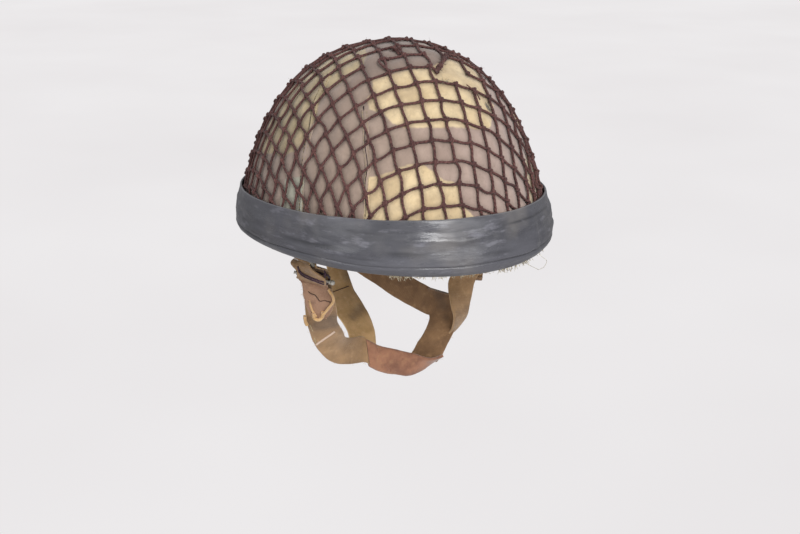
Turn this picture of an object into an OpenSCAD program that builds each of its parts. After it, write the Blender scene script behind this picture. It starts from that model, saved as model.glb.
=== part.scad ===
// Steel airborne troops' helmet with a camouflage cloth cover, a knotted string net,
// a rubber band round the rim, a fibre and leather liner and a webbing chin harness.
// Millimetres. +X is the wearer's front, +Y the wearer's left, +Z up.
// The origin is the centre of the head opening, in the plane of the front and rear rim.

/* [Steel shell] */
// Length of the bare shell, front to rear
shell_length = 280; // [270:2:296]
// Width of the bare shell
shell_width = 234; // [226:2:246]
// Height of the crown above the rim plane
shell_height = 153; // [146:1:162]
// Thickness of the pressed steel
steel_wall = 1.2; // [1:0.1:1.6]
// How square the shell's shoulders are, 2 is an ellipse
shoulder = 2.45; // [2.1:0.05:2.7]
// How full the profile is over the nape, 2 is an ellipse
nape_fullness = 1.92; // [1.8:0.02:2.1]
// How full the profile is over the brow
brow_fullness = 1.32; // [1.25:0.01:1.5]
// How far forward of the middle the crown lies
crown_forward = 9; // [4:0.5:12]
// How much higher the rim is at the ears than at front and rear
rim_rise = 3; // [0:0.5:5]
// Thickness of the folded strip that binds the rim
binding_wall = 0.4; // [0.4:0.05:0.6]
// Height of the folded strip
binding_height = 4.5; // [4:0.25:5]

/* [Cover and net] */
// Room between the steel and the cloth, over the binding
cloth_gap = 1.05; // [1:0.05:1.3]
// Thickness of the camouflage cloth
cloth_wall = 0.8; // [0.6:0.1:1]
// How far the frayed cloth edge hangs below the rim
cloth_hem = 3; // [2:0.5:5]
// How far the crown screw's head lifts the cloth
crown_bump = 2.6; // [2.4:0.1:3.2]
// Mesh of the net, knot to knot
net_mesh = 19.4; // [19:0.2:22]
// Thickness of the net's string
string_d = 2.4; // [2.2:0.1:2.8]
// Gap under the string
string_gap = 0.7; // [0.65:0.05:0.9]
// Bearing of the net's straight run, from the front to the wearer's left
net_bearing = -18; // [-30:1:0]

/* [Rubber band] */
// Thickness of the rubber
rubber_wall = 2; // [1.6:0.1:2.4]
// Height of the band's top edge at the front
band_front = 42; // [38:1:46]
// Height of the band's top edge at the rear
band_rear = 32; // [28:1:38]
// How far the band reaches below the rim
band_below = 1.5; // [1:0.25:2.5]
// How far the band bulges past its top edge
band_bulge = 1.4; // [0.8:0.1:2]

/* [Liner] */
// Gap between the steel and the fibre band
buffer_space = 12; // [11:0.5:14]
// Thickness of the fibre band
fibre_wall = 2; // [1.6:0.1:2.4]
// Height of the fibre band's lower edge
fibre_low = 22; // [20:1:26]
// Height of the fibre band
fibre_height = 32; // [28:1:36]
// Thickness of the leather headband
leather_wall = 1.8; // [1.4:0.1:2.2]
// Height of the leather headband
leather_height = 36; // [32:1:40]
// Number of leather tongues
tongues = 8; // [6:1:10]
// Width of the cradle straps
cradle_w = 22; // [18:1:26]
// Thickness of the cradle straps
cradle_wall = 1.5; // [1.2:0.1:1.8]
// Radius of the rubber crown pad
crown_pad_r = 34; // [28:1:38]
// Thickness of the rubber crown pad
crown_pad_t = 6; // [4:0.5:8]
// Shank of the crown screw
crown_screw_d = 6; // [5:0.5:6]
// Shank of the liner rivets
rivet_d = 3; // [2.5:0.25:3.5]

/* [Harness fittings] */
// How far forward of the middle the side lugs are
lug_forward = 20; // [16:1:26]
// Height of the lug bolts above the rim plane
lug_height = 12; // [11:0.5:14]
// Shank of the lug bolts
lug_bolt_d = 5; // [4:0.25:5.5]
// Thickness of the lug plates
lug_plate_t = 2; // [1.6:0.1:2.2]
// How far the ring tube lies below the bolt
lug_drop = 9.5; // [9:0.25:11]
// Wire of the strap rings
ring_wire = 2.5; // [2:0.1:2.8]
// Inside width of the strap rings
ring_inside = 28; // [27:0.5:31]
// Radial room round bolts and wires that turn
turning_gap = 0.3; // [0.25:0.05:0.4]
// Wire of the slider's frame
slider_wire = 2; // [1.6:0.1:2.2]
// Inside width of the slider
slider_inside = 25.5; // [27.5:0.5:30]
// Height of the slider's frame, wire to wire
slider_height = 9; // [9:0.5:12]
// Balls on the ends of the sliding bar
slider_ball_d = 4.2; // [4:0.25:5.5]

/* [Webbing] */
// Width of the webbing
web_w = 25; // [22:0.5:27]
// Thickness of the webbing
web_t = 2; // [1.6:0.1:2.2]
// Thickness of the leather round the chin strap
chamois_t = 1.2; // [1:0.1:1.5]

/* [Hidden] */
$fn = 32;

half_l = shell_length / 2;
half_w = shell_width / 2;
around = 48;
up = 10;
seat = 0.3;
nap = 0.2;

// Layers outside the steel, as offsets from its outer face
cloth_in = cloth_gap;
cloth_out = cloth_gap + cloth_wall;
string_mid = cloth_out + string_gap + string_d / 2;
band_in = string_mid + string_d / 2 + 0.7;
// Layers inside the steel
fibre_out = -steel_wall - buffer_space;
fibre_in = fibre_out - fibre_wall;
leather_out = fibre_in - seat;
leather_in = leather_out - leather_wall;
leather_low = fibre_low - 3;
tongue_out = leather_in - 0.5;

// Shape of the shell: a superellipse in plan and in profile, offset by d
function rim_z(a) = rim_rise * pow(sin(a), 2);
function profile(a) = (nape_fullness + brow_fullness) / 2 - (nape_fullness - brow_fullness) / 2 * cos(a);
function dome(a, t, d) =
  let (z = (shell_height + d) * pow(sin(t), 2 / profile(a)), r = pow(max(cos(t), 0), 2 / shoulder))
  [(half_l + d) * cos(a) * r + crown_forward * pow(z / shell_height, 2), (half_w + d) * sin(a) * r, z];
function rise_angle(a, z, d) = z <= 0 ? 0 : asin(min(1, pow(z / (shell_height + d), profile(a) / 2)));
function wall(a, z, d) =
  z <= 0 ? [(half_l + d) * cos(a), (half_w + d) * sin(a), z] : dome(a, rise_angle(a, z, d), d);

// Faces between two rings of n points that start at p and q
function ring_faces(p, q, n) =
  [for (i = [0:n - 1]) let (j = (i + 1) % n) each [[p + i, q + i, p + j], [p + j, q + i, q + j]]];
function fan_faces(p, apex, n) = [for (i = [0:n - 1]) [p + i, apex, p + (i + 1) % n]];
function flip(f) = [for (t = f) [t[2], t[1], t[0]]];

// One skin of the dome from a height above the rim to the crown
function skin(d, low, lift) = [
  for (k = [0:up - 1], i = [0:around - 1])
    let (a = 360 * i / around, z0 = rim_z(a) + low, t0 = rise_angle(a, z0, d))
    z0 <= 0 && k == 0 ? wall(a, z0, d) : dome(a, t0 + (90 - t0) * k / up, d),
  [crown_forward * pow((shell_height + d) / shell_height, 2), 0, shell_height + d + lift]
];
module dome_wall(d_in, d_out, low, lift = 0) {
  n = around * up + 1;
  faces_out = [for (k = [0:up - 2]) each ring_faces(k * around, (k + 1) * around, around)];
  top = fan_faces((up - 1) * around, n - 1, around);
  one = concat(faces_out, top);
  inner = flip([for (f = one) [f[0] + n, f[1] + n, f[2] + n]]);
  polyhedron(concat(skin(d_out, low, lift), skin(d_in, low, lift)),
    concat(one, inner, ring_faces(n, 0, around)), convexity = 8);
}

// A closed section carried round the shell; section(a) gives [height, offset] pairs
module wall_loop(rings) {
  n = len(rings[0]);
  m = len(rings);
  pts = [for (r = rings) each r];
  faces = [for (i = [0:m - 1]) each ring_faces(i * n, ((i + 1) % m) * n, n)];
  polyhedron(pts, faces, convexity = 8);
}

// Vectors and paths
function unit(v) = v / norm(v);
function aim(az, el) = [cos(az) * cos(el), sin(az) * cos(el), sin(el)];
function spline(a, b, c, d, t) =
  0.5 * (2 * b + (c - a) * t + (2 * a - 5 * b + 4 * c - d) * t * t + (3 * b - a - 3 * c + d) * t * t * t);
// A station of a strap is [x, y, z, bearing and rise of its width, width as a share of the webbing]
function full(s) = [each [s[0], s[1], s[2]], each aim(s[3], s[4]), len(s) > 5 ? s[5] : 1];
function smooth(route, parts) = let (s = [for (p = route) full(p)], n = len(s)) [
  for (i = [0:n - 2], j = [0:parts - 1])
    spline(s[max(i - 1, 0)], s[i], s[i + 1], s[min(i + 2, n - 1)], j / parts),
  s[n - 1]
];
function place(p) = [p[0], p[1], p[2]];
function across(p) = unit([p[3], p[4], p[5]]);
function run(path, i) = unit(place(path[min(i + 1, len(path) - 1)]) - place(path[max(i - 1, 0)]));
function facing(path, i) = unit(cross(run(path, i), across(path[i])));
// The four corners of a strap's section, moved off by so much along its face
function corners(path, i, w, t, off) =
  let (c = place(path[i]) + facing(path, i) * off, u = across(path[i]) * w * path[i][6] / 2, n = facing(path, i) * t / 2)
  [c - u - n, c + u - n, c + u + n, c - u + n];
module ribbon(route, w = web_w, t = web_t, off = 0, parts = 2) {
  path = smooth(route, parts);
  n = len(path);
  pts = [for (i = [0:n - 1]) each corners(path, i, w, t, off)];
  sides = [for (i = [0:n - 2]) each ring_faces(4 * i, 4 * (i + 1), 4)];
  e = 4 * (n - 1);
  polyhedron(pts, concat(sides, [[0, 1, 2], [0, 2, 3]], [[e + 2, e + 1, e], [e + 3, e + 2, e]]), convexity = 6);
}
// A flat sleeve with an open inside
module sleeve(route, w, t, wall_t, parts = 2) {
  path = smooth(route, parts);
  n = len(path);
  pts = [for (i = [0:n - 1]) each concat(corners(path, i, w, t, 0), corners(path, i, w - 2 * wall_t, t - 2 * wall_t, 0))];
  outer = [for (i = [0:n - 2], k = [0:3]) let (a = 8 * i + k, b = 8 * i + (k + 1) % 4)
    each [[a, b, a + 8], [b, b + 8, a + 8]]];
  inner = [for (i = [0:n - 2], k = [0:3]) let (a = 8 * i + 4 + k, b = 8 * i + 4 + (k + 1) % 4)
    each [[a, a + 8, b], [b, a + 8, b + 8]]];
  e = 8 * (n - 1);
  ends = [for (k = [0:3]) let (a = k, b = (k + 1) % 4) each [[a, a + 4, b], [b, a + 4, b + 4],
    [e + a, e + b, e + a + 4], [e + b, e + b + 4, e + a + 4]]];
  polyhedron(pts, flip(concat(outer, inner, ends)), convexity = 6);
}
// A round wire along a closed or open row of points
module wire(points, d, closed = true, sides = 8) {
  n = len(points);
  last = n - 1;
  dir = [for (i = [0:last]) unit(
    (closed || i < last ? points[(i + 1) % n] : points[i]) - (closed || i > 0 ? points[(i + last) % n] : points[i]))];
  flat = unit(cross(points[1] - points[0], points[2] - points[1]));
  pts = [for (i = [0:last], k = [0:sides - 1])
    points[i] + d / 2 * (flat * cos(360 * k / sides) + unit(cross(dir[i], flat)) * sin(360 * k / sides))];
  body = [for (i = [0:closed ? last : last - 1]) each ring_faces(i * sides, ((i + 1) % n) * sides, sides)];
  caps = closed ? [] : concat([for (k = [1:sides - 2]) [0, k, k + 1]],
    [for (k = [1:sides - 2]) [last * sides, last * sides + k + 1, last * sides + k]]);
  polyhedron(pts, concat(body, caps), convexity = 6);
}
// Puts a child whose axis is Z along a direction at a point
module along(p, dir) {
  d = unit(dir);
  translate(p) rotate([0, acos(d[2]), atan2(d[1], d[0])]) children();
}

// Steel shell
lug_bearing = acos(lug_forward / half_l);
side_bolt_y = wall(lug_bearing, lug_height, 0)[1];
nape_bolt_x = -wall(180, lug_height, 0)[0];
module bolt_places() {
  for (s = [-1, 1])
    translate([lug_forward, s * side_bolt_y, lug_height]) rotate([s * 90, 0, 0]) children();
  translate([-nape_bolt_x, 0, lug_height]) rotate([0, 90, 0]) children();
}
module steel_shell() {
  color("#4b5140") difference() {
    dome_wall(-steel_wall, 0, 0);
    translate([crown_forward, 0, shell_height - 10]) cylinder(h = 20, d = crown_screw_d + 0.4);
    bolt_places() translate([0, 0, -5]) cylinder(h = 14, d = lug_bolt_d + 0.4);
  }
}
module rim_binding() {
  t = binding_wall;
  color("#3f4436") wall_loop([for (i = [0:around - 1])
    let (a = 360 * i / around, z = rim_z(a), h = z + binding_height, g = 0.1, o = g + t, w = -steel_wall - 0.6)
    [wall(a, h, g), wall(a, h, o), wall(a, z - o, o), wall(a, z - o, w - t), wall(a, h, w - t),
     wall(a, h, w), wall(a, z - g, w), wall(a, z - g, g)]]);
}

// Cloth cover
module cloth_cover() {
  color("#a8977c") dome_wall(cloth_in, cloth_out, -cloth_hem, crown_bump);
}

// String net: knots on a sphere of directions, laid over the cloth
cells = 11;
knot_step = 2 * asin(net_mesh / 2 / 135);
function spin(v, axis, a) = v * cos(a) + cross(axis, v) * sin(a) + axis * (axis * v) * (1 - cos(a));
function mirror_over(c, a, b) = let (n = unit(cross(a, b))) c - 2 * (c * n) * n;
// Each knot mirrors the one before it over the plane of its two neighbours, so all sides stay equal
function next_row(row, first, n, out = []) =
  len(out) == 0 ? next_row(row, first, n, [first])
  : len(out) > n ? out
  : next_row(row, first, n, concat(out, [mirror_over(row[len(out) - 1], row[len(out)], out[len(out) - 1])]));
function quarter(ax, ay, n, rows = []) =
  len(rows) > n ? rows
  : len(rows) == 0 ? quarter(ax, ay, n, [[for (i = [0:n]) spin([0, 0, 1], ax, i * knot_step)]])
  : quarter(ax, ay, n, concat(rows, [next_row(rows[len(rows) - 1], spin([0, 0, 1], ay, len(rows) * knot_step), n)]));
q1 = quarter([-1, 0, 0], [0, 1, 0], cells);
function corner(i, j) = let (v = q1[abs(j)][abs(i)]) [j < 0 ? -v[0] : v[0], i < 0 ? -v[1] : v[1], v[2]];
function band_top(a) = (band_front + band_rear) / 2 + (band_front - band_rear) / 2 * cos(a + 20);
// The point of the cloth in a direction seen from the middle of the head opening
function reach(q, s, m, k, n = 8) =
  n == 0 ? k : reach(q, s, m, k / pow(pow(k * q, shoulder) + pow(k * s, m), 0.5), n - 1);
function seen(v, d) = let (a = atan2(v[1] / (half_w + d), v[0] / (half_l + d)),
  q = norm([v[0] / (half_l + d), v[1] / (half_w + d)]), s = max(v[2], 0) / (shell_height + d),
  k = reach(q, s, profile(a), 1 / norm([q, s])))
  dome(a, atan2(pow(k * s, profile(a) / 2), pow(k * q, shoulder / 2)), d);
function net_spot(i, j, d) = let (v = corner(i, j), w = spin(v, [0, 0, 1], net_bearing), p = seen(w, d),
  r = norm([p[0] - crown_forward, p[1]])) p + [0, 0, max(0, (crown_bump + 0.6) * (1 - r / 34))];
function low_knot(i, j) = let (p = net_spot(i, j, string_mid), a = atan2(p[1], p[0]))
  p[2] < band_top(a) - 7 || norm(place(corner(i, j))) < 0.5 || corner(i, j)[2] < 0.05;
side_n = 2 * cells + 1;
kept = [for (j = [-cells:cells], i = [-cells:cells]) !low_knot(i, j)];
function is_kept(i, j) = abs(i) <= cells && abs(j) <= cells && kept[(j + cells) * side_n + i + cells];
kept_list = [for (j = [-cells:cells], i = [-cells:cells]) if (is_kept(i, j)) [i, j]];
rank = [for (k = 0, n = 0; k < len(kept); n = n + (kept[k] ? 1 : 0), k = k + 1) n];
function first_point(i, j) = 8 * rank[(j + cells) * side_n + i + cells];
function knot_points(i, j) =
  let (p = net_spot(i, j, string_mid), q = net_spot(i, j, string_mid + 1),
    n = unit(q - p), e = is_kept(i + 1, j) ? net_spot(i + 1, j, string_mid) - p : p - net_spot(i - 1, j, string_mid),
    f = is_kept(i, j + 1) ? net_spot(i, j + 1, string_mid) - p : p - net_spot(i, j - 1, string_mid),
    u = unit(e - n * (e * n)), v = unit(f - n * (f * n)), h = string_d / 2,
    a = unit(u + v), b = unit(u - v), ca = h / max(0.35, abs(a * unit(cross(n, u)))),
    cb = h / max(0.35, abs(b * unit(cross(n, u)))))
  [for (s = [-1, 1]) each [p + a * ca + n * s * h, p - b * cb + n * s * h, p - a * ca + n * s * h, p + b * cb + n * s * h]];
// Corners of a knot below and above: 0 ahead on both runs, 1 back on i, 2 back on both, 3 back on j
net_pts = [for (k = kept_list) each knot_points(k[0], k[1])];
net_faces = [for (k = kept_list) let (i = k[0], j = k[1], p = first_point(i, j)) each concat(
  [[p + 0, p + 2, p + 1], [p + 0, p + 3, p + 2], [p + 4, p + 5, p + 6], [p + 4, p + 6, p + 7]],
  is_kept(i + 1, j) ? let (q = first_point(i + 1, j)) concat(
      strip(p + 0, q + 1, p + 4, q + 5), strip(p + 4, q + 5, p + 7, q + 6),
      strip(p + 7, q + 6, p + 3, q + 2), strip(p + 3, q + 2, p + 0, q + 1))
    : [[p + 0, p + 4, p + 3], [p + 3, p + 4, p + 7]],
  is_kept(i, j + 1) ? let (q = first_point(i, j + 1)) concat(
      strip(p + 1, q + 2, p + 5, q + 6), strip(p + 5, q + 6, p + 4, q + 7),
      strip(p + 4, q + 7, p + 0, q + 3), strip(p + 0, q + 3, p + 1, q + 2))
    : [[p + 1, p + 5, p + 0], [p + 0, p + 5, p + 4]],
  is_kept(i - 1, j) ? [] : [[p + 2, p + 6, p + 1], [p + 1, p + 6, p + 5]],
  is_kept(i, j - 1) ? [] : [[p + 3, p + 7, p + 2], [p + 2, p + 7, p + 6]])];
function strip(a, b, c, d) = [[a, c, b], [c, d, b]];
module string_net() {
  color("#5a3c3c") polyhedron(net_pts, net_faces, convexity = 10);
}

// Rubber band
module rubber_band() {
  w = rubber_wall;
  o = band_in + w;
  color("#5f5e63") wall_loop([for (i = [0:around - 1])
    let (a = 360 * i / around, lo = rim_z(a) - band_below, hi = band_top(a), h = hi - lo, s = cloth_out + 0.2)
    [wall(a, lo, s), wall(a, lo + 3, s), wall(a, lo + 0.14 * h, band_in - 0.4),
     wall(a, lo + 0.35 * h, band_in + band_bulge), wall(a, lo + 0.7 * h, band_in + 0.8), wall(a, hi, band_in),
     wall(a, hi, o), wall(a, lo + 0.7 * h, o + 0.8), wall(a, lo + 0.35 * h, o + band_bulge),
     wall(a, lo + 0.09 * h, o - 0.2), wall(a, lo, s + w + 0.6)]]);
}

// Crown screw and nuts: steel, spacer nut, two cradle straps, pad, lower nut in the pad's recess
cradle_top = -steel_wall - 7;
cross_top = cradle_top - cradle_wall - 1.4;
pad_top = cross_top - cradle_wall - 0.9;
pad_web = crown_pad_t - 2.8;
low_nut = pad_top - pad_web - nap;
module crown_screw() {
  color("#6f6a5c") translate([crown_forward, 0, shell_height]) {
    translate([0, 0, 0.1]) rotate_extrude() polygon([[0, 0], [6, 0], [6, 0.6], [4, 1.4], [0, 1.7]]);
    translate([0, 0, low_nut - 2.2]) cylinder(h = 3 - low_nut, d = crown_screw_d);
  }
}
module crown_nut() {
  color("#7a7465") translate([crown_forward, 0, shell_height]) {
    translate([0, 0, cradle_top + seat]) difference() {
      cylinder(h = 5.8, d = 12, $fn = 6);
      translate([0, 0, -1]) cylinder(h = 8, d = crown_screw_d + nap);
    }
    translate([0, 0, low_nut - 2.2]) difference() {
      cylinder(h = 2.2, d = 11);
      translate([0, 0, -1]) cylinder(h = 5, d = crown_screw_d + nap);
    }
  }
}

// Liner
module wall_ring(z0, z1, d_in, d_out, steps = 3) {
  wall_loop([for (i = [0:around - 1]) let (a = 360 * i / around) concat(
    [for (k = [0:steps]) wall(a, z0 + (z1 - z0) * k / steps, d_in)],
    [for (k = [steps:-1:0]) wall(a, z0 + (z1 - z0) * k / steps, d_out)])]);
}
rivet_z = fibre_low + fibre_height * 0.55 + 6;
function square_to(a, z, d) =
  unit(cross(wall(a + 1, z, d) - wall(a - 1, z, d), wall(a, z + 1, d) - wall(a, z - 1, d)));
module rivet_holes() {
  for (b = [45, 135, 225, 315]) {
    out = square_to(b, rivet_z, fibre_in);
    along(wall(b, rivet_z, fibre_in) - out * 8, out) cylinder(h = 16, d = rivet_d + 0.4);
  }
}
module fibre_band() {
  color("#2b2724") difference() {
    wall_ring(fibre_low, fibre_low + fibre_height, fibre_in, fibre_out);
    rivet_holes();
  }
}
module leather_headband() {
  color("#6b4a30") difference() {
    wall_ring(leather_low, leather_low + leather_height, leather_in, leather_out);
    rivet_holes();
  }
}
// A piece of the dome between two bearings and two heights, narrowing upwards
function patch(a, span, t0, t1, d, top, m, n) = [for (k = [0:n], i = [0:m])
  let (f = k / n, w = span * (1 - (1 - top) * f * f), b = a + w * (i / m - 0.5), t = t0 + (t1 - t0) * f)
  dome(b, t, d)];
module dome_patch(a, span, z0, t1, d_out, d_in, top = 1, m = 3, n = 4) {
  t0 = rise_angle(a, z0, d_out);
  c = (m + 1) * (n + 1);
  grid = [for (k = [0:n - 1], i = [0:m - 1]) let (p = k * (m + 1) + i) each [[p, p + m + 1, p + 1], [p + 1, p + m + 1, p + m + 2]]];
  edge = concat([for (i = [0:m]) i], [for (k = [1:n]) k * (m + 1) + m], [for (i = [m - 1:-1:0]) n * (m + 1) + i], [for (k = [n - 1:-1:1]) k * (m + 1)]);
  rim = [for (i = [0:len(edge) - 1]) let (p = edge[i], q = edge[(i + 1) % len(edge)]) each [[p, q, p + c], [q, q + c, p + c]]];
  polyhedron(concat(patch(a, span, t0, t1, d_out, top, m, n), patch(a, span, t0, t1, d_in, top, m, n)),
    concat(grid, flip([for (f = grid) f + [c, c, c]]), rim), convexity = 4);
}
tongue_t = 58;
module headband_tongues() {
  color("#7b5637") for (i = [0:tongues - 1]) {
    a = 360 * (i + 0.5) / tongues;
    dome_patch(a, 280 / tongues, leather_low + 8, tongue_t, tongue_out, tongue_out - 1.4, 0.62);
  }
}
module tongue_lace() {
  z = dome(0, tongue_t - 4, tongue_out)[2];
  color("#b9a888") wall_loop([for (i = [0:around - 1]) let (a = 360 * i / around, c = dome(a, tongue_t - 4, tongue_out - 3.8))
    [for (k = [0:5]) c + [cos(a) * cos(60 * k), sin(a) * cos(60 * k), -sin(60 * k)] * 1.1]]);
}
// A strap over the crown, from foot to foot
module cradle(bearing, top_d) {
  foot_d = fibre_out + 1.2 + cradle_wall;
  n = 14;
  route = [for (k = [0:n]) let (f = k / n, b = bearing + (f < 0.5 ? 0 : 180), g = 1 - abs(2 * f - 1),
      foot_t = rise_angle(b, fibre_low + fibre_height * 0.55, foot_d), t = foot_t + (90 - foot_t) * g,
      d = foot_d + (top_d - foot_d) * pow(g, 2) - cradle_wall / 2, p = dome(b, t, d))
    [p[0], p[1], p[2], bearing + 90, 0]];
  ribbon(route, cradle_w, cradle_wall, 0, 1);
}
module cradle_hole() {
  difference() {
    children();
    translate([crown_forward, 0, shell_height - 20]) cylinder(h = 30, d = crown_screw_d + 0.6);
    rivet_holes();
  }
}
module cradle_strap_fore() {
  color("#3a2f27") cradle_hole() cradle(45, cradle_top);
}
module cradle_strap_cross() {
  color("#3a2f27") cradle_hole() cradle(135, cross_top);
}
module crown_pad() {
  t = crown_pad_t;
  r = crown_pad_r;
  hole = crown_screw_d / 2 + 0.3;
  function sag(x) = x * x / 190;
  color("#4a4542") translate([crown_forward, 0, shell_height + pad_top - t]) difference() {
    rotate_extrude() polygon(concat(
      [[hole, t - pad_web], [7.5, t - pad_web], [7.5, 0]],
      [for (k = [1:4]) let (x = 7.5 + (r - 13) * k / 4) [x, -sag(x)]],
      [[r - 1, 1.5 - sag(r)], [r, t / 2 - sag(r)], [r - 1.5, t - 1 - sag(r)]],
      [for (k = [4:-1:1]) let (x = (r - 4) * k / 4) [x, t - sag(x)]], [[hole, t]]));
    for (a = [0:60:300]) rotate(a) translate([r * 0.6, 0, -10]) cylinder(h = t + 20, d = 7);
  }
}
module buffer_pads() {
  color("#55504c") for (a = [0, 66, 114, 180, 246, 294])
    dome_patch(a, 18, fibre_low + 4, rise_angle(a, fibre_low + fibre_height - 4, fibre_out), -steel_wall - 0.9, fibre_out + 0.7, 1, 3, 2);
}
module liner_rivets() {
  color("#8d7b52") for (b = [45, 135, 225, 315]) {
    out = square_to(b, rivet_z, fibre_in);
    c = wall(b, rivet_z, fibre_in);
    outer = fibre_wall + cradle_wall + 1.8;
    inner = seat + leather_wall + 0.8;
    along(c + out * outer, out) cylinder(h = 1, d = rivet_d + 3);
    along(c - out * (inner + 1), out) cylinder(h = 1, d = rivet_d + 3);
    along(c - out * (inner + 0.5), out) cylinder(h = outer + inner + 1, d = rivet_d);
  }
}

// Lugs, rings and their bolts
plate_out = steel_wall + 5;
tube_d = ring_wire + 2 * turning_gap + 2.4;
module lug_bolts() {
  color("#6f6a5c") bolt_places() {
    translate([0, 0, 0.2]) cylinder(h = plate_out + lug_plate_t + 2.6, d = lug_bolt_d);
    translate([0, 0, steel_wall + 1.5]) cylinder(h = plate_out - turning_gap - steel_wall - 1.5, d = lug_bolt_d + 3.6);
  }
}
module lug_nuts() {
  color("#7a7465") bolt_places() translate([0, 0, plate_out + lug_plate_t + turning_gap]) difference() {
    cylinder(h = 2.4, d = lug_bolt_d + 4, $fn = 6);
    translate([0, 0, -1]) cylinder(h = 5, d = lug_bolt_d + nap);
  }
}
// A plate with a bolt hole and a tube for the ring; Z is along the bolt and -Y down
module lug() {
  difference() {
    union() {
      hull() {
        translate([0, 0, plate_out]) cylinder(h = lug_plate_t, d = lug_bolt_d + 7);
        translate([-10, -lug_drop, plate_out]) cube([20, 2, lug_plate_t]);
      }
      translate([-10, -lug_drop, plate_out + lug_plate_t / 2]) rotate([0, 90, 0]) cylinder(h = 20, d = tube_d);
    }
    translate([0, 0, plate_out - 1]) cylinder(h = lug_plate_t + 2, d = lug_bolt_d + 2 * turning_gap);
    translate([-11, -lug_drop, plate_out + lug_plate_t / 2]) rotate([0, 90, 0])
      cylinder(h = 22, d = ring_wire + 2 * turning_gap);
  }
}
module right_lug() {
  color("#77705f") translate([lug_forward, -side_bolt_y, lug_height]) rotate([-90, 180, 0]) lug();
}
module left_lug() {
  color("#77705f") translate([lug_forward, side_bolt_y, lug_height]) rotate([90, 0, 0]) lug();
}
module nape_lug() {
  color("#77705f") translate([-nape_bolt_x, 0, lug_height]) rotate([90, 0, 90]) lug();
}
ring_in = plate_out + lug_plate_t / 2;
ring_z = lug_height - lug_drop;
ring_drop = 15;
lean_right = 43;
lean_left = 11;
lean_nape = 42;
// A strap ring from its top bar, leaning inwards
function bar_of(top, inward, lean) = top + inward * ring_drop * sin(lean) - [0, 0, ring_drop * cos(lean)];
module strap_ring(top, side, inward, lean) {
  c = (ring_inside + ring_wire) / 2;
  low = bar_of(top, inward, lean);
  k = 0.22;
  color("#8b8578") wire([top - side * (c - 2), top + side * (c - 2), top + (low - top) * k + side * c,
    top + (low - top) * (1 - k) + side * c, low + side * (c - 2), low - side * (c - 2),
    top + (low - top) * (1 - k) - side * c, top + (low - top) * k - side * c], ring_wire);
}
right_top = [lug_forward, -side_bolt_y + ring_in, ring_z];
left_top = [lug_forward, side_bolt_y - ring_in, ring_z];
nape_top = [-nape_bolt_x + ring_in, 0, ring_z];
right_bar = bar_of(right_top, [0, 1, 0], lean_right);
left_bar = bar_of(left_top, [0, -1, 0], lean_left);
nape_bar = bar_of(nape_top, [1, 0, 0], lean_nape);
module right_ring() strap_ring(right_top, [1, 0, 0], [0, 1, 0], lean_right);
module left_ring() strap_ring(left_top, [1, 0, 0], [0, -1, 0], lean_left);
module nape_ring() strap_ring(nape_top, [0, 1, 0], [1, 0, 0], lean_nape);

// The bend of a strap over a ring's bar: the upper half of a tube
eye_in = ring_wire / 2 + turning_gap;
eye_mid = eye_in + web_t / 2;
module eye(bar, side, w = web_w - 1.5) {
  translate(bar) rotate([0, 0, side[1] > 0.5 ? 90 : 0]) rotate([0, 90, 0]) translate([0, 0, -w / 2]) difference() {
    cylinder(h = w, r = eye_in + web_t);
    translate([0, 0, -1]) cylinder(h = w + 2, r = eye_in);
    translate([0, -10, -1]) cube([10, 20, w + 2]);
  }
}

// Straps, as stations of [x, y, z, bearing of the width, rise of the width, share of the webbing's width].
// A strap goes with the bar that it hangs from: its first stations wholly, then less and less
right_move = right_bar - [20, -97.51, -8.47];
left_move = left_bar - [20, 104.88, -12.22];
nape_move = nape_bar - [-122.28, 0, -8.65];
function share_of(i, whole, last) = i < whole ? 1 : max(0, (last - i) / (last - whole + 1));
function follow(route, move, whole, last) = [for (i = [0:len(route) - 1])
  let (k = share_of(i, whole, last)) [for (j = [0:len(route[i]) - 1]) route[i][j] + (j < 3 ? k * move[j] : 0)]];
right_route = concat([[right_bar[0], right_bar[1] + eye_mid, right_bar[2] + 0.1, 0, 0],
  [right_bar[0], right_bar[1] + eye_mid + 0.8, right_bar[2] - 3, 2, 0],
  [right_bar[0] - 0.2, right_bar[1] + 5.4, right_bar[2] - 4.6, 28, -7]],
  follow([[19.2, -88.8, -16, 43, -12], [17.6, -85.6, -25, 46, -14],
    [13.2, -80.4, -41, 53, -15], [6.8, -75.8, -58, 55, -8], [-0.5, -69.6, -74, 55, 10],
    [-6, -61, -91, 55, 33], [-10, -49, -106, 55, 62], [-12, -35, -111.5, 55, 86], [-14, -22, -113.5, 55, 96],
    [-14, -16, -116, 55, 97]], right_move, 5, 8));
chin_route = [[-14, -15.5, -116.3, 55, 97], [-14, -8, -121, 55, 100], [-13, 0, -126, 55, 101],
  [-11, 11, -130.5, 55, 98], [-8, 25, -134.5, 55, 86, 0.96], [-5, 38, -136, -35, 62, 0.96],
  [-3, 48, -135, -35, 38], [-2, 58, -133, -35, 20]];
jaw_route = [[-22.5, 71.5, -80, 30, -8], [-22.4, 71.2, -95, 33, -8], [-16, 67, -106, 42, -5], [-10.5, 60, -115, 52, 0],
  [-11.5, 57.5, -124, 55, -5], [-12.6, 55.9, -131, 55, -10]];
left_route = concat([[left_bar[0], left_bar[1] - eye_mid, left_bar[2] + 0.1, 0, 0],
  [left_bar[0], left_bar[1] - eye_mid, left_bar[2] - 3, 4, 0]],
  follow([[12, 98, -28, 30, 0], [2, 91, -48, 60, -5], [-4, 82.5, -65, 66, -5], [-3, 78.5, -82, 88, -12],
    [-1.5, 77, -98, 106, -12], [-2.5, 76.5, -110, 116, -10]], left_move, 1, 3));
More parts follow.
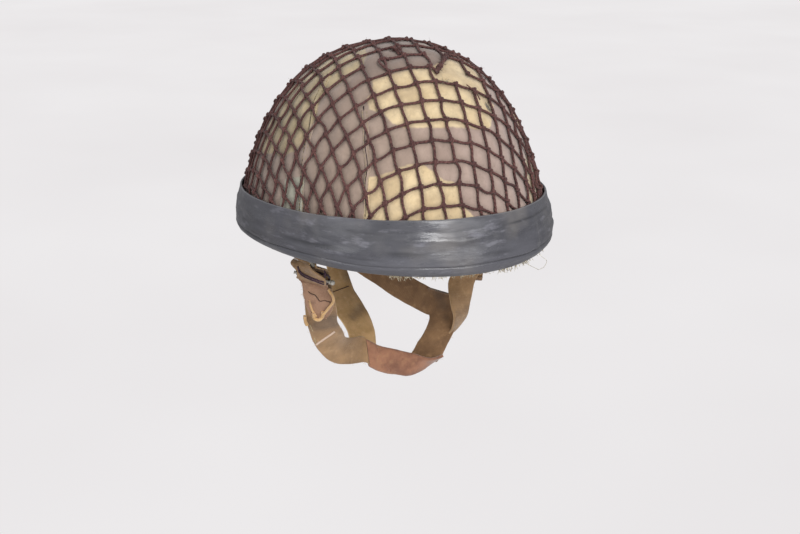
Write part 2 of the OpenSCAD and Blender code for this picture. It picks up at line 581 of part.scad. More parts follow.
roll_route = concat([[left_bar[0], left_bar[1] + eye_mid, left_bar[2] - seat, 0, 0],
  [left_bar[0], left_bar[1] + eye_mid, left_bar[2] - 4, 3, 0]],
  follow([[10.3, 103.2, -28, 28, 0], [2.1, 99.2, -46, 50, -3], [-4, 94.7, -60, 58, -5]], left_move, 1, 3));
left_nape_route = follow([[-109.5, 8.5, -36.8, 85, 8, 0.56], [-98, 16, -48, 66, 40, 0.8],
  [-82, 27, -58, 55, 60], [-68, 37, -67, 55, 60], [-53, 46, -76, 55, 62], [-36, 56, -84, 55, 68],
  [-21, 64, -89, 55, 75], [-15, 71, -89, 55, 78]], nape_move, 1, 5);
right_nape_route = follow([[-109.5, -8.5, -36.8, 95, -8, 0.56], [-98, -6, -45, 100, -18, 0.8],
  [-89, -3, -50, 100, -20], [-81, -3, -61, 95, -20], [-71, -6, -74, 90, -15, 1.1],
  [-58, -8, -84, 82, -12, 1.25], [-45, -10, -94, 78, -10, 1.35], [-32, -13, -103, 80, -12, 1.33],
  [-20, -17, -112, 86, -17, 1.22]], nape_move, 1, 6);
tab_route = concat([[nape_bar[0] + eye_mid, 0, nape_bar[2] + 0.1, 90, 0],
  [nape_bar[0] + eye_mid + 0.2, 0, nape_bar[2] - 4, 90, 0]],
  follow([[-117, 0, -19, 90, 0], [-113, 0, -28, 90, 0], [-110, 0, -36, 90, 0]], nape_move, 3, 4));

// The slider sits on the face of the right side strap, a little askew
slider_at = right_move + [18.5, -87.64, -19.73];
slider_run = unit([-3, 4, -11]);
slider_side = aim(43, -12);
slider_face = unit(cross(slider_run, slider_side));
slider_down = cross(slider_side, slider_face);
slider_mid = slider_at + slider_face * (web_t / 2 + slider_wire / 2 + 2.2);
bar_mid = slider_mid + slider_face * (slider_wire + nap);
fold_mid = bar_mid + slider_face * (slider_wire / 2 + web_t / 2 + seat);
function station(p, az, el, share = 1) = [p[0], p[1], p[2], az, el, share];
module nape_tab() {
  color("#8d7350") {
    ribbon(tab_route, web_w * 1.08, web_t);
    eye(nape_bar, [0, 1, 0]);
  }
}
module right_side_strap() {
  color("#967b57") {
    ribbon(right_route);
    eye(right_bar, [1, 0, 0]);
  }
}
module right_strap_fold() {
  b = right_bar + [0, -eye_mid, -0.6];
  color("#9b7f5c") ribbon([station(b, 0, 0), station(b - [0, 0, 3], 6, -3),
    station(fold_mid - slider_down * 6, 34, -9), station(fold_mid + slider_down * 2.4, 43, -12)]);
}
module strap_end() {
  s = slider_mid + slider_down * (slider_height / 2 + slider_wire / 2 + seat) + slider_side;
  color("#94735a") ribbon(concat([station(s, 43, -12), station(s + slider_down * 3, 45, -12)],
    follow([[19.2, -86.2, -33, 50, -12], [15.8, -82.4, -46, 54, -6], [11.4, -79.4, -57, 55, -2, 0.78],
      [8.6, -77.4, -66, 55, 0, 0.42], [7.4, -76.6, -71, 55, 0, 0.1]], right_move, 5, 6)));
}
module slider_frame() {
  a = slider_side * (slider_inside + slider_wire) / 2;
  b = slider_down * slider_height / 2;
  r = 1.6;
  ru = slider_side * r;
  rd = slider_down * r;
  color("#4a3a3c") wire([slider_mid - a - b + ru, slider_mid + a - b - ru, slider_mid + a - b + rd, slider_mid + a + b - rd,
    slider_mid + a + b - ru, slider_mid - a + b + ru, slider_mid - a + b - rd, slider_mid - a - b + rd], slider_wire);
}
module slider_bar() {
  half = slider_inside / 2 + slider_wire + slider_ball_d / 2 + seat;
  color("#b9b6ae") {
    along(bar_mid - slider_side * half, slider_side) cylinder(h = 2 * half, d = slider_wire);
    for (s = [-1, 1]) translate(bar_mid + slider_side * s * half) sphere(d = slider_ball_d);
  }
}
module chin_strap() {
  color("#967b57") ribbon(chin_route);
}
module chin_leather() {
  color("#a9795a") sleeve(chin_route, web_w + 2 * chamois_t + 0.6, web_t + 2 * chamois_t + 0.6, chamois_t);
}
module left_jaw_strap() {
  color("#7d6446") ribbon(jaw_route, web_w + 2);
}
module left_side_strap() {
  color("#8a6d4a") {
    ribbon(left_route);
    eye(left_bar, [1, 0, 0]);
  }
}
module left_strap_roll() {
  e = aim(58, -5);
  color("#86683f") {
    ribbon(roll_route);
    along([-8.4, 93.6, -63.5] + left_move / 3 - e * web_w / 2, e) cylinder(h = web_w, r = 4.4);
  }
}
module left_nape_strap() {
  color("#7d6446") ribbon(left_nape_route);
}
module right_nape_strap() {
  color("#967b57") ribbon(right_nape_route);
}

steel_shell();
rim_binding();
cloth_cover();
string_net();
rubber_band();
crown_screw();
crown_nut();
buffer_pads();
fibre_band();
leather_headband();
headband_tongues();
tongue_lace();
cradle_strap_fore();
cradle_strap_cross();
crown_pad();
liner_rivets();
lug_bolts();
lug_nuts();
right_lug();
left_lug();
nape_lug();
right_ring();
left_ring();
nape_ring();
nape_tab();
right_side_strap();
right_strap_fold();
strap_end();
slider_frame();
slider_bar();
chin_strap();
chin_leather();
left_jaw_strap();
left_side_strap();
left_strap_roll();
left_nape_strap();
right_nape_strap();
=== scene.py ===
import bpy
import bmesh
import numpy as np
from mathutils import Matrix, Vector
from mathutils.kdtree import KDTree


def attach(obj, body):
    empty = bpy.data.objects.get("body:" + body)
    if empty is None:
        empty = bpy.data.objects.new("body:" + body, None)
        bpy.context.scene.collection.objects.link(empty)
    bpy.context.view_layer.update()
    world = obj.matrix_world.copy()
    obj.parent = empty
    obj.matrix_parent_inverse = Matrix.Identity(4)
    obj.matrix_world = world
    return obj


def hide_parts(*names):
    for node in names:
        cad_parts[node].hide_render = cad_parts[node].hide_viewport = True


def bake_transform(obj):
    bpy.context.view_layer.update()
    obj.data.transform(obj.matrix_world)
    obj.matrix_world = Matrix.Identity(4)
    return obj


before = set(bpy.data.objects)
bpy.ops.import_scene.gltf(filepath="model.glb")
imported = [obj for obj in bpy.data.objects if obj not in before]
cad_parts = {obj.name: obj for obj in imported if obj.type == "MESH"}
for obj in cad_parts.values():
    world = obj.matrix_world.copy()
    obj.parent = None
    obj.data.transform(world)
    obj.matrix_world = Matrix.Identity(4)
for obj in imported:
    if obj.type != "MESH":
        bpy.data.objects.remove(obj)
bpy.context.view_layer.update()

rng = np.random.default_rng(7)
R = np.radians

# ---- camera
scene = bpy.context.scene
lens = bpy.data.cameras.new("camera")
lens.lens = 55.77
lens.shift_x = 0.0085
camera = bpy.data.objects.new("camera", lens)
camera.location = (0.8355, -0.5822, 0.292)
camera.rotation_euler = (R(90 - 17.89), 0, R(55))
scene.collection.objects.link(camera)
scene.camera = camera
# across and up as the camera sees the helmet
ACROSS, UP = np.array([0.5736, 0.8192, 0]), np.array([-0.2517, 0.1762, 0.9517])


# ---- small helpers, all in mm
def unit(v):
    v = np.asarray(v, float)
    return v / (np.linalg.norm(v, axis=-1, keepdims=True) + 1e-12)


def walked(q):
    """How far along a row of points each of them lies."""
    return np.concatenate([[0], np.cumsum(np.linalg.norm(np.diff(q, axis=0), axis=1))])


def at_steps(k, s, q):
    """The points of the row q at the steps k, where the row's own points are at the steps s."""
    return np.stack([np.interp(k, s, q[:, c]) for c in range(q.shape[1])], -1)


def between(w, x, y, z, f):
    """A smooth curve at the share f of its way from x to y; w and z are the points beside them."""
    return 0.5 * (2 * x + (y - w) * f + (2 * w - 5 * x + 4 * y - z) * f * f + (3 * x - w - 3 * y + z) * f ** 3)


def near(a, centre, reach):
    """1 at the azimuth centre, and less to both sides of it, in radians."""
    return np.exp(-(((a - centre + np.pi) % (2 * np.pi) - np.pi) / reach) ** 2)


def lumps(p, size, seed=0):
    """Smooth noise from -1 to 1 at the points p, with lumps of about this size in mm."""
    q = np.asarray(p, float) / size + seed * 17.31
    i = np.floor(q).astype(np.int64)
    f = q - i
    f = f * f * (3 - 2 * f)
    total = 0
    for dx in (0, 1):
        for dy in (0, 1):
            for dz in (0, 1):
                h = (i[..., 0] + dx) * 73856093 ^ (i[..., 1] + dy) * 19349663 ^ (i[..., 2] + dz) * 83492791
                h = (h ^ (h >> 7)) * 1274126177 & 0xFFFFFF
                share = (f[..., 0] if dx else 1 - f[..., 0]) * (f[..., 1] if dy else 1 - f[..., 1])
                total = total + (h / 0x7FFFFF - 1) * share * (f[..., 2] if dz else 1 - f[..., 2])
    return total


def wander(p, size, seed):
    """Such noise in each of the three directions."""
    return np.stack([lumps(p, size, seed + k) for k in range(3)], -1)


def lofted(rows, around=True, closed=False, caps=True, flip=None):
    """Faces over rows of points: rows[i, j], j round the section and i along it. Gives points, faces and uvs."""
    p = np.asarray(rows, float)
    n, m = p.shape[:2]
    i = np.arange(n if closed else n - 1)[:, None]
    j = np.arange(m if around else m - 1)[None, :]
    i1, j1 = (i + 1) % n, (j + 1) % m
    quads = np.stack([i * m + j, i1 * m + j, i1 * m + j1, i * m + j1], -1).reshape(-1, 4)
    ring = np.vstack([p[n // 2], p[n // 2][:1]]) if around else p[n // 2]
    line = p.mean(1)
    line = np.vstack([line, line[:1]]) if closed else line
    u, v = walked(ring) / 1000, walked(line) / 1000
    i, j = np.broadcast_arrays(i, j)
    uv = np.stack([np.stack([u[j + dj], v[i + di]], -1) for di, dj in ((0, 0), (1, 0), (1, 1), (0, 1))], -2)
    uv = uv.reshape(-1, 4, 2)
    flat = p.reshape(-1, 3)
    if flip is None:
        c = flat - flat.mean(0)
        a, b, d, e = (c[quads[:, k]] for k in range(4))
        flip = (np.einsum("ij,ij->i", a, np.cross(b, d)).sum() + np.einsum("ij,ij->i", a, np.cross(d, e)).sum()) < 0
    if flip:
        quads, uv = quads[:, ::-1], uv[:, ::-1]
    faces = quads.tolist()
    uvs = uv.reshape(-1, 2)
    if caps and around and not closed:
        for start, turned in ((0, flip), ((n - 1) * m, not flip)):
            ends = list(range(start, start + m))
            faces.append(ends if turned else ends[::-1])
            uvs = np.vstack([uvs, np.tile([[u[m // 4], v[0 if start == 0 else -1]]], (m, 1))])
    return flat, faces, uvs


def piece(name, parts, material, body, replaces=(), marks=None):
    """One object from lofted parts, riding on a body."""
    if isinstance(parts, tuple):
        parts = [parts]
    points = np.vstack([q[0] for q in parts]) / 1000
    faces, at = [], 0
    for q in parts:
        faces += [[k + at for k in f] for f in q[1]]
        at += len(q[0])
    data = bpy.data.meshes.new(name)
    data.from_pydata(points.tolist(), [], faces)
    layer = data.uv_layers.new(name="UVMap")
    layer.data.foreach_set("uv", np.vstack([q[2] for q in parts]).astype(np.float32).ravel())
    for key, values in (marks or {}).items():
        data.attributes.new(key, "FLOAT", "POINT").data.foreach_set("value", np.asarray(values, np.float32).ravel())
    data.polygons.foreach_set("use_smooth", np.full(len(faces), True))
    data.materials.append(material)
    obj = bpy.data.objects.new(name, data)
    scene.collection.objects.link(obj)
    if body:
        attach(obj, body)
    if replaces:
        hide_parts(*replaces)
    return obj


def frames(points):
    """Directions along a row of points, and two across it that turn as little as they can."""
    p = np.asarray(points, float)
    run = unit(np.gradient(p, axis=0))
    side = np.zeros_like(run)
    side[0] = unit(np.cross(run[0], [0.31, 0.52, 0.79]))
    for k in range(1, len(p)):
        side[k] = unit(side[k - 1] - run[k] * (side[k - 1] @ run[k]))
    return run, side, np.cross(run, side)


def tube(points, radius, sides=8, caps=True):
    p = np.asarray(points, float)
    run, a, b = frames(p)
    r = np.broadcast_to(np.asarray(radius, float), (len(p),))[:, None, None]
    t = np.linspace(0, 2 * np.pi, sides, endpoint=False)
    ring = a[:, None] * np.cos(t)[None, :, None] + b[:, None] * np.sin(t)[None, :, None]
    return lofted(p[:, None] + r * ring, caps=caps)


def spread(points, n):
    """Even steps along a smooth curve through points."""
    q = np.asarray(points, float)
    ext = np.vstack([2 * q[0] - q[1], q, 2 * q[-1] - q[-2]])
    t = np.linspace(0, len(q) - 1, 12 * len(q))
    i = np.minimum(t.astype(int), len(q) - 2)
    c = between(ext[i], ext[i + 1], ext[i + 2], ext[i + 3], (t - i)[:, None])
    s = walked(c)
    return at_steps(np.linspace(0, s[-1], n), s, c)


INSIDE = (9, 0, 20)   # the middle of the helmet, which loose fibres stand away from


def hairs(line, count, reach, r, lift=0.6, seed=0):
    """Short loose fibres standing off a line."""
    g = np.random.default_rng(seed)
    q = np.asarray(line, float)
    t = np.linspace(0, 1, 5)[:, None]
    found = []
    for _ in range(count):
        k = g.uniform(0, len(q) - 1.001)
        at = q[int(k)] + (q[int(k) + 1] - q[int(k)]) * (k % 1)
        d = unit(g.normal(0, 1, 3) + unit(at - INSIDE) * lift)
        bend = g.normal(0, 0.35, (5, 3)).cumsum(0)
        found.append(tube(at + (d * t + bend * t * t * 0.5) * reach * g.uniform(0.4, 1), r * (1 - 0.5 * t[:, 0]), 3))
    return found


# ---- materials
def srgb(code):
    v = [int(code[k:k + 2], 16) / 255 for k in (1, 3, 5)]
    return tuple(x / 12.92 if x <= 0.04045 else ((x + 0.055) / 1.055) ** 2.4 for x in v) + (1,)


class Stuff:
    """A node material with a few short words for what it is made of."""

    def __init__(self, name):
        self.m = bpy.data.materials.new(name)
        self.m.use_nodes = True
        self.t = self.m.node_tree
        self.t.nodes.clear()
        self.where = self.add("ShaderNodeTexCoord").outputs
        self.obj = self.where["Object"]

    def add(self, kind, ins=None, **props):
        n = self.t.nodes.new(kind)
        for k, v in props.items():
            setattr(n, k, v)
        for k, v in (ins or {}).items():
            if isinstance(v, bpy.types.NodeSocket):
                self.t.links.new(v, n.inputs[k])
            else:
                n.inputs[k].default_value = v
        return n

    def noise(self, mm, detail=3, rough=0.55, squeeze=None):
        at = self.obj
        if squeeze:
            at = self.add("ShaderNodeVectorMath", {0: at, 1: squeeze}, operation="MULTIPLY").outputs[0]
        ins = {"Vector": at, "Scale": 1000 / mm, "Detail": detail, "Roughness": rough}
        return self.add("ShaderNodeTexNoise", ins).outputs["Fac"]

    def cells(self, mm):
        return self.add("ShaderNodeTexVoronoi", {"Vector": self.obj, "Scale": 1000 / mm}).outputs["Distance"]

    def math(self, op, a, b=0.0, c=0.0):
        return self.add("ShaderNodeMath", {0: a, 1: b, 2: c}, operation=op).outputs[0]

    def half(self, x):
        """A wave from -1 to 1 as one from 0 to 1."""
        return self.math("MULTIPLY_ADD", x, 0.5, 0.5)

    def span(self, x, a, b, lo=0.0, hi=1.0):
        ins = {0: x, 1: a, 2: b, 3: lo, 4: hi}
        return self.add("ShaderNodeMapRange", ins, interpolation_type="SMOOTHSTEP").outputs[0]

    def blots(self, a, b, *noise):
        """Noise cut to blots: none below a, full above b."""
        return self.span(self.noise(*noise), a, b)

    def mix(self, f, a, b):
        a, b = (srgb(c) if isinstance(c, str) else c for c in (a, b))
        return self.add("ShaderNodeMix", {0: f, 6: a, 7: b}, data_type="RGBA").outputs[2]

    def clouds(self, dark, light, *noise):
        """Two colours that run into each other."""
        return self.mix(self.blots(0.3, 0.7, *noise), dark, light)

    def over(self, tone, *rows):
        """Colours over a tone, each as (where or what blots needs, share, colour)."""
        for *where, share, colour in rows:
            where = where[0] if len(where) == 1 else self.blots(*where)
            tone = self.mix(self.math("MULTIPLY", where, share), tone, colour)
        return tone

    def mark(self, name):
        return self.add("ShaderNodeAttribute", attribute_name=name).outputs["Fac"]

    def uv(self):
        s = self.add("ShaderNodeSeparateXYZ", {0: self.where["UV"]}).outputs
        return s[0], s[1]

    def wave(self, x, mm):
        return self.math("SINE", self.math("MULTIPLY", x, 2000 * np.pi / mm))

    def weave(self, mm_across, mm_along):
        """Height of a plain weave, from the piece's own uv."""
        u, v = self.uv()
        return self.math("MULTIPLY", self.wave(u, mm_across), self.wave(v, mm_along))

    def bumps(self, *rows):
        """Bumps on bumps, each as (height or what noise needs, depth in mm, strength)."""
        ins = {}
        for height, mm, strength in rows:
            height = self.noise(*height) if isinstance(height, tuple) else height
            ins.update({"Height": height, "Distance": mm / 1000, "Strength": strength})
            ins["Normal"] = self.add("ShaderNodeBump", ins).outputs[0]
        return ins["Normal"]

    def done(self, colour, rough, normal, metal=0.0, sheen=None):
        ins = {"Base Color": colour, "Roughness": rough, "Metallic": metal, "Normal": normal}
        if sheen:
            ins["Sheen Weight"], ins["Sheen Roughness"] = sheen
        shader = self.add("ShaderNodeBsdfPrincipled", ins)
        self.add("ShaderNodeOutputMaterial", {0: shader.outputs[0]})
        return self.m


def camouflage_cloth():
    s = Stuff("camouflage_cloth")
    rag = s.math("MULTIPLY_ADD", s.noise(7, 4, 0.6), 3.6, -1.8)
    fade = s.blots(0.3, 0.7, 34, 3)
    tone = s.mix(fade, "#856f63", "#9c8679")
    # painted light: towards the picture's right the cloth turns pinker and lighter, as lit
    tone = s.mix(s.span(s.mark("lit_across"), -10, 90), tone, s.mix(fade, "#957d75", "#a48d84"))
    # each kind of patch with its two colours; the hole is painted near black, for the dark shell seen through it and
    # painted shade in it
    for name, dark, light in (("pale", "#9a9b8a", "#aeae9d"), ("dark", "#6c564d", "#7d665c"),
                              ("olive", "#9c8a62", "#b5a078"), ("tan", "#c3aa80", "#d7c096"),
                              ("hole", "#231b18", "#33271f")):
        edge = s.span(s.math("ADD", s.mark(name), rag), -0.9, 0.9)
        tone = s.mix(edge, tone, s.mix(s.blots(0.35, 0.65, 21, 4), dark, light))
    # darker random blots, and painted shade on the cloth next to the net's strings
    tone = s.over(tone, (0.35, 0.72, 13, 5, 0.65, 0.30, "#5d4a40"), (s.mark("under"), 0.30, "#4c3431"))
    creases = s.math("MULTIPLY_ADD", s.noise(15, 3, 0.6, (1, 1, 0.5)), 2.0, -1.0)
    creases = s.math("POWER", s.math("ABSOLUTE", creases), 0.35)
    # faint painted shade along the creases
    tone = s.mix(s.span(creases, 0.36, 0.2, 0.0, 0.09), tone, "#43332e")
    threads = s.half(s.weave(1.1, 1.1))
    # painted highlight on the raised threads of the weave, and darker random speckles
    tone = s.over(tone, (threads, 0.16, "#f0e2c8"), (0.62, 0.75, 2.2, 2, 0.6, 0.22, "#4a3a34"))
    n = s.bumps(((16, 4, 0.6), 1.6, 0.5), ((5, 4, 0.6, (1, 1, 0.6)), 0.7, 0.55), (creases, 0.3, 0.4),
                (threads, 0.16, 0.8))
    return s.done(tone, 0.93, n, sheen=(0.25, 0.6))


def string_stuff(name, dark, mid, light):
    """Three-ply string: its ply winds round it, seen in uv."""
    s = Stuff(name)
    u, v = s.uv()
    u, v = s.math("MULTIPLY", u, 2000 * np.pi / 7.6 * 3), s.math("MULTIPLY", v, 2000 * np.pi / 3.4)
    ply = s.half(s.math("SINE", s.math("ADD", u, v)))
    # the grooves between the plies are painted near black, as shade in them
    tone = s.over(s.clouds(dark, mid, 24, 3), (0.45, 0.75, 3.5, 3, 0.55, light),
                  (s.math("SUBTRACT", 1.0, ply), 0.45, "#1f1313"))
    return s.done(tone, 0.9, s.bumps((ply, 0.45, 0.9), ((0.6, 3, 0.7), 0.3, 0.6)), sheen=(0.08, 0.5))


def rubber():
    """Stretched inner tube: its blots run along the band."""
    s = Stuff("inner_tube_rubber")
    # the band's tone; the crease mark paints shade into its grooves
    tone = s.over(s.clouds("#424247", "#54545a", 30, 4, 0.6, (0.35, 0.35, 1.6)),
                  (0.5, 0.75, 55, 3, 0.6, "#75716e"), (0.52, 0.8, 4, 5, 0.7, (0.5, 0.5, 1.4), 0.16, "#85838a"),
                  (s.mark("crease"), 0.8, "#2f2f33"), (0.6, 0.8, 1.2, 3, 0.6, 0.35, "#454448"),
                  (s.span(s.mark("edge"), 0.55, 1.0), 0.4, "#8a8888"),
                  (0.54, 0.7, 9, 5, 0.7, (0.35, 0.35, 1.5), 0.35, "#8f8e97"))
    rough = s.span(s.noise(14, 4, squeeze=(0.5, 0.5, 1.4)), 0.3, 0.7, 0.24, 0.46)
    return s.done(tone, rough, s.bumps(((6, 4, 0.6, (0.4, 0.4, 1.5)), 0.8, 0.4), ((0.9, 3, 0.6), 0.12, 0.5)))


def webbing(name, dark, mid, light, stain_and_shade="#4c3826"):
    s = Stuff(name)
    rib = s.half(s.wave(s.uv()[0], 1.25))
    pick = s.half(s.weave(1.25, 1.5))
    # the stain colour marks random stains, and also darkens the hollows of the weave as painted shade; the shade mark
    # adds painted shade
    tone = s.over(s.clouds(dark, mid, 17, 4, 0.6), (0.5, 0.8, 6, 4, 0.65, 0.6, light),
                  (0.56, 0.78, 9, 5, 0.6, 0.5, stain_and_shade), (s.math("SUBTRACT", 1.0, pick), 0.28, stain_and_shade),
                  (s.span(s.mark("edge"), 0.8, 1.0), 0.45, light), (s.mark("shade"), 0.62, "#36261c"))
    relief = s.math("ADD", s.math("MULTIPLY", rib, 0.6), pick)
    n = s.bumps(((8, 3, 0.6), 0.6, 0.5), (relief, 0.28, 0.8), ((0.5, 3, 0.7), 0.1, 0.5))
    return s.done(tone, 0.92, n, sheen=(0.3, 0.55))


def suede():
    s = Stuff("chamois")
    tone = s.over(s.clouds("#7a523f", "#a27256", 15, 4, 0.6), (0.5, 0.8, 5, 4, 0.6, 0.5, "#b28a63"),
                  (0.55, 0.8, 8, 5, 0.65, 0.55, "#5a3a2c"))
    return s.done(tone, 0.88, s.bumps(((6, 4, 0.6), 1.0, 0.5), ((0.5, 4, 0.7), 0.2, 0.6)), sheen=(0.5, 0.45))


def leather(name, dark, mid, light, grain=1.4):
    s = Stuff(name)
    pores = s.cells(grain)
    tone = s.over(s.clouds(dark, mid, 20, 4, 0.6), (0.55, 0.8, 5, 4, 0.6, 0.5, light),
                  (s.span(pores, 0.35, 0.7), 0.25, dark))
    rough = s.span(s.noise(9, 3), 0.3, 0.7, 0.42, 0.7)
    return s.done(tone, rough, s.bumps(((7, 3), 0.6, 0.4), (pores, 0.18, 0.6)))


def metal(name, paint, worn, rust, shine, wear=0.5, gloss=0.45):
    s = Stuff(name)
    chip, spots = s.blots(wear, wear + 0.08, 4.5, 6, 0.72), s.blots(0.6, 0.72, 2.4, 5, 0.7)
    tone = s.over(s.mix(chip, s.clouds(paint, worn, 11, 4), shine), (spots, 0.7, rust))
    dull = s.span(s.noise(3, 4), 0.3, 0.7, gloss - 0.1, gloss + 0.15)
    rough = s.math("ADD", dull, s.math("MULTIPLY", spots, 0.25))
    return s.done(tone, rough, s.bumps(((0.8, 4, 0.6), 0.08, 0.6)), s.math("MULTIPLY", chip, 0.85))


def foam():
    s = Stuff("sponge_rubber")
    holes = s.cells(1.5)
    # the sponge's holes are painted near black, as shade in them
    tone = s.mix(s.span(holes, 0.1, 0.5), "#1d1b18", s.clouds("#33302c", "#4a453e", 9, 4))
    return s.done(tone, 0.95, s.bumps((holes, 0.5, 0.8)))


def fibre():
    s = Stuff("vulcanised_fibre")
    tone = s.clouds("#5b4430", "#77583c", 25, 4, 0.55, (1, 1, 3))
    tone = s.over(tone, (0.55, 0.75, 1.6, 4, 0.7, 0.5, "#3b2c20"))
    return s.done(tone, 0.6, s.bumps(((1.2, 4, 0.7), 0.15, 0.6)))


def dress(stuff, *solids):
    """Puts a material on those of the part's solids that show as they are."""
    for name in solids:
        for held in bpy.data.objects[name].material_slots:
            held.material = stuff


cloth_m, rubber_m, chamois_m, foam_m = camouflage_cloth(), rubber(), suede(), foam()
net_m = string_stuff("net_string", "#4a2926", "#643e3a", "#835850")
lace_m = string_stuff("lace", "#6d5a3e", "#8d7853", "#b39d74")
thread_m = string_stuff("sewing_thread", "#a8936b", "#c9b68c", "#e0d2ae")
fray_m = string_stuff("frayed_cloth", "#b5a88c", "#d6cbb0", "#ebe3cd")
webbing_m = webbing("webbing", "#8c6c47", "#ad885e", "#caa67a", "#5d4229")
webbing_dark_m = webbing("webbing_shaded", "#775738", "#95714c", "#b48d62", "#4b331e")
# a pale webbing for bindings and loose threads, which is also a lighter copy of the webbing that paints light on the
# right nape strap
pale_and_lit_webbing_m = webbing("pale_and_lit_webbing", "#c4995f", "#e6bc84", "#f6d6a4", "#94703f")
webbing_end_m = webbing("webbing_end", "#916b4f", "#ae8568", "#c6a283", "#624330")
cradle_m = webbing("cradle_tape", "#8d8264", "#a89d7c", "#c4ba9a")
leather_m = leather("liner_leather", "#4a3122", "#6b4830", "#8d6546")
tongue_m = leather("tongue_leather", "#5b3c28", "#7c573a", "#9f7a55", 1.1)
ball_m = metal("slider_bar", "#a19d94", "#c2beb4", "#7c5f48", "#d9d6ce", 0.5, 0.34)
dress(fibre(), "fibre_band")
dress(metal("painted_steel", "#3f4a35", "#4b5540", "#5c3b25", "#8b8a83", 0.62, 0.6), "steel_shell")
dress(metal("rim_binding", "#39402f", "#474d3b", "#5c3b25", "#85837a", 0.56, 0.6), "rim_binding")
dress(metal("brass", "#8a7440", "#a58a4c", "#4d3f2a", "#c2a860", 0.45, 0.38),
      "crown_screw", "crown_nut", "liner_rivets")
dress(metal("slider_wire", "#3d3032", "#54444a", "#6b4a36", "#8d8583", 0.6, 0.5), "slider_frame")
dress(metal("fittings", "#6f6c60", "#88857a", "#5d4433", "#a9a69c", 0.5, 0.42),
      "lug_bolts", "lug_nuts", "right_lug", "left_lug", "nape_lug", "right_ring", "left_ring", "nape_ring")

# ---- the shell's shape, as in the part
LONG, WIDE, TALL = 140.0, 117.0, 153.0
LEAN = 9       # how far the crown lies before the middle
ROUND = 2.45   # exponent of the dome's outline in plan
PLAN = 200     # from the crown to the rim on the flat plan of the dome
CLOTH = 1.85   # how far the cloth's face lies outside the shell
CROWN = 34     # how far round the crown cloth and net rise over the screw


def rim_z(a):
    return 3 * np.sin(a) ** 2


def flow(a):
    return 1.62 - 0.30 * np.cos(a)


def dome(a, t, d):
    """The shell grown by d, at the azimuth a and t up from the rim; it swells most over the wearer's left brow."""
    a, t, d = np.broadcast_arrays(np.asarray(a, float), t, d)
    swell = 4.4 * near(a, R(58), R(42)) * np.clip(np.sin(2 * t), 0, 1) ** 0.7
    d = d + swell * (1 - 0.75 * np.clip((t - 0.8) / 0.6, 0, 1))
    z = (TALL + d) * np.maximum(np.sin(t), 0) ** (2 / flow(a))
    r = np.maximum(np.cos(t), 0) ** (2 / ROUND)
    return np.stack([(LONG + d) * np.cos(a) * r + LEAN * (z / TALL) ** 2, (WIDE + d) * np.sin(a) * r, z], -1)


def wall(a, z, d):
    a, z, d = np.broadcast_arrays(np.asarray(a, float), z, d)
    t = np.arcsin(np.clip(z / (TALL + d), 0, 1) ** (flow(a) / 2))
    p = dome(a, t, d)
    p[..., 2] = np.where(z < 0, z, p[..., 2])
    return p


def band_top(a):
    return 37 + 5 * np.cos(a + R(20))


def on_plan(p):
    """A point of the dome as a place on a flat plan, crown in the middle."""
    a = np.arctan2(p[..., 1] / WIDE, (p[..., 0] - LEAN * (p[..., 2] / TALL) ** 2) / LONG)
    t = np.arcsin(np.clip(p[..., 2] / (TALL + 1.8), 0, 1) ** (flow(a) / 2))
    rho = (1 - t / (np.pi / 2)) * PLAN
    return rho * np.cos(a), rho * np.sin(a)


def from_plan(x, y, d):
    x, y = np.asarray(x, float), np.asarray(y, float)
    return dome(np.arctan2(y, x), (1 - np.hypot(x, y) / PLAN) * np.pi / 2, d)


def inside_by(x, y, outline):
    """How far a place of the plan lies inside an outline, in mm, negative outside."""
    q = np.asarray(outline, float)
    least = np.full(x.shape, 1e9)
    inside = np.zeros(x.shape, bool)
    for (ax, ay), (bx, by) in zip(q, np.roll(q, -1, 0)):
        ex, ey = bx - ax, by - ay
        k = np.clip(((x - ax) * ex + (y - ay) * ey) / (ex * ex + ey * ey), 0, 1)
        least = np.minimum(least, np.hypot(x - ax - k * ex, y - ay - k * ey))
        with np.errstate(divide="ignore", invalid="ignore"):
            crosses = ((ay > y) != (by > y)) & (x < ax + (y - ay) * ex / (ey if ey else 1e-9))
        inside ^= crosses
    return np.where(inside, least, -least)


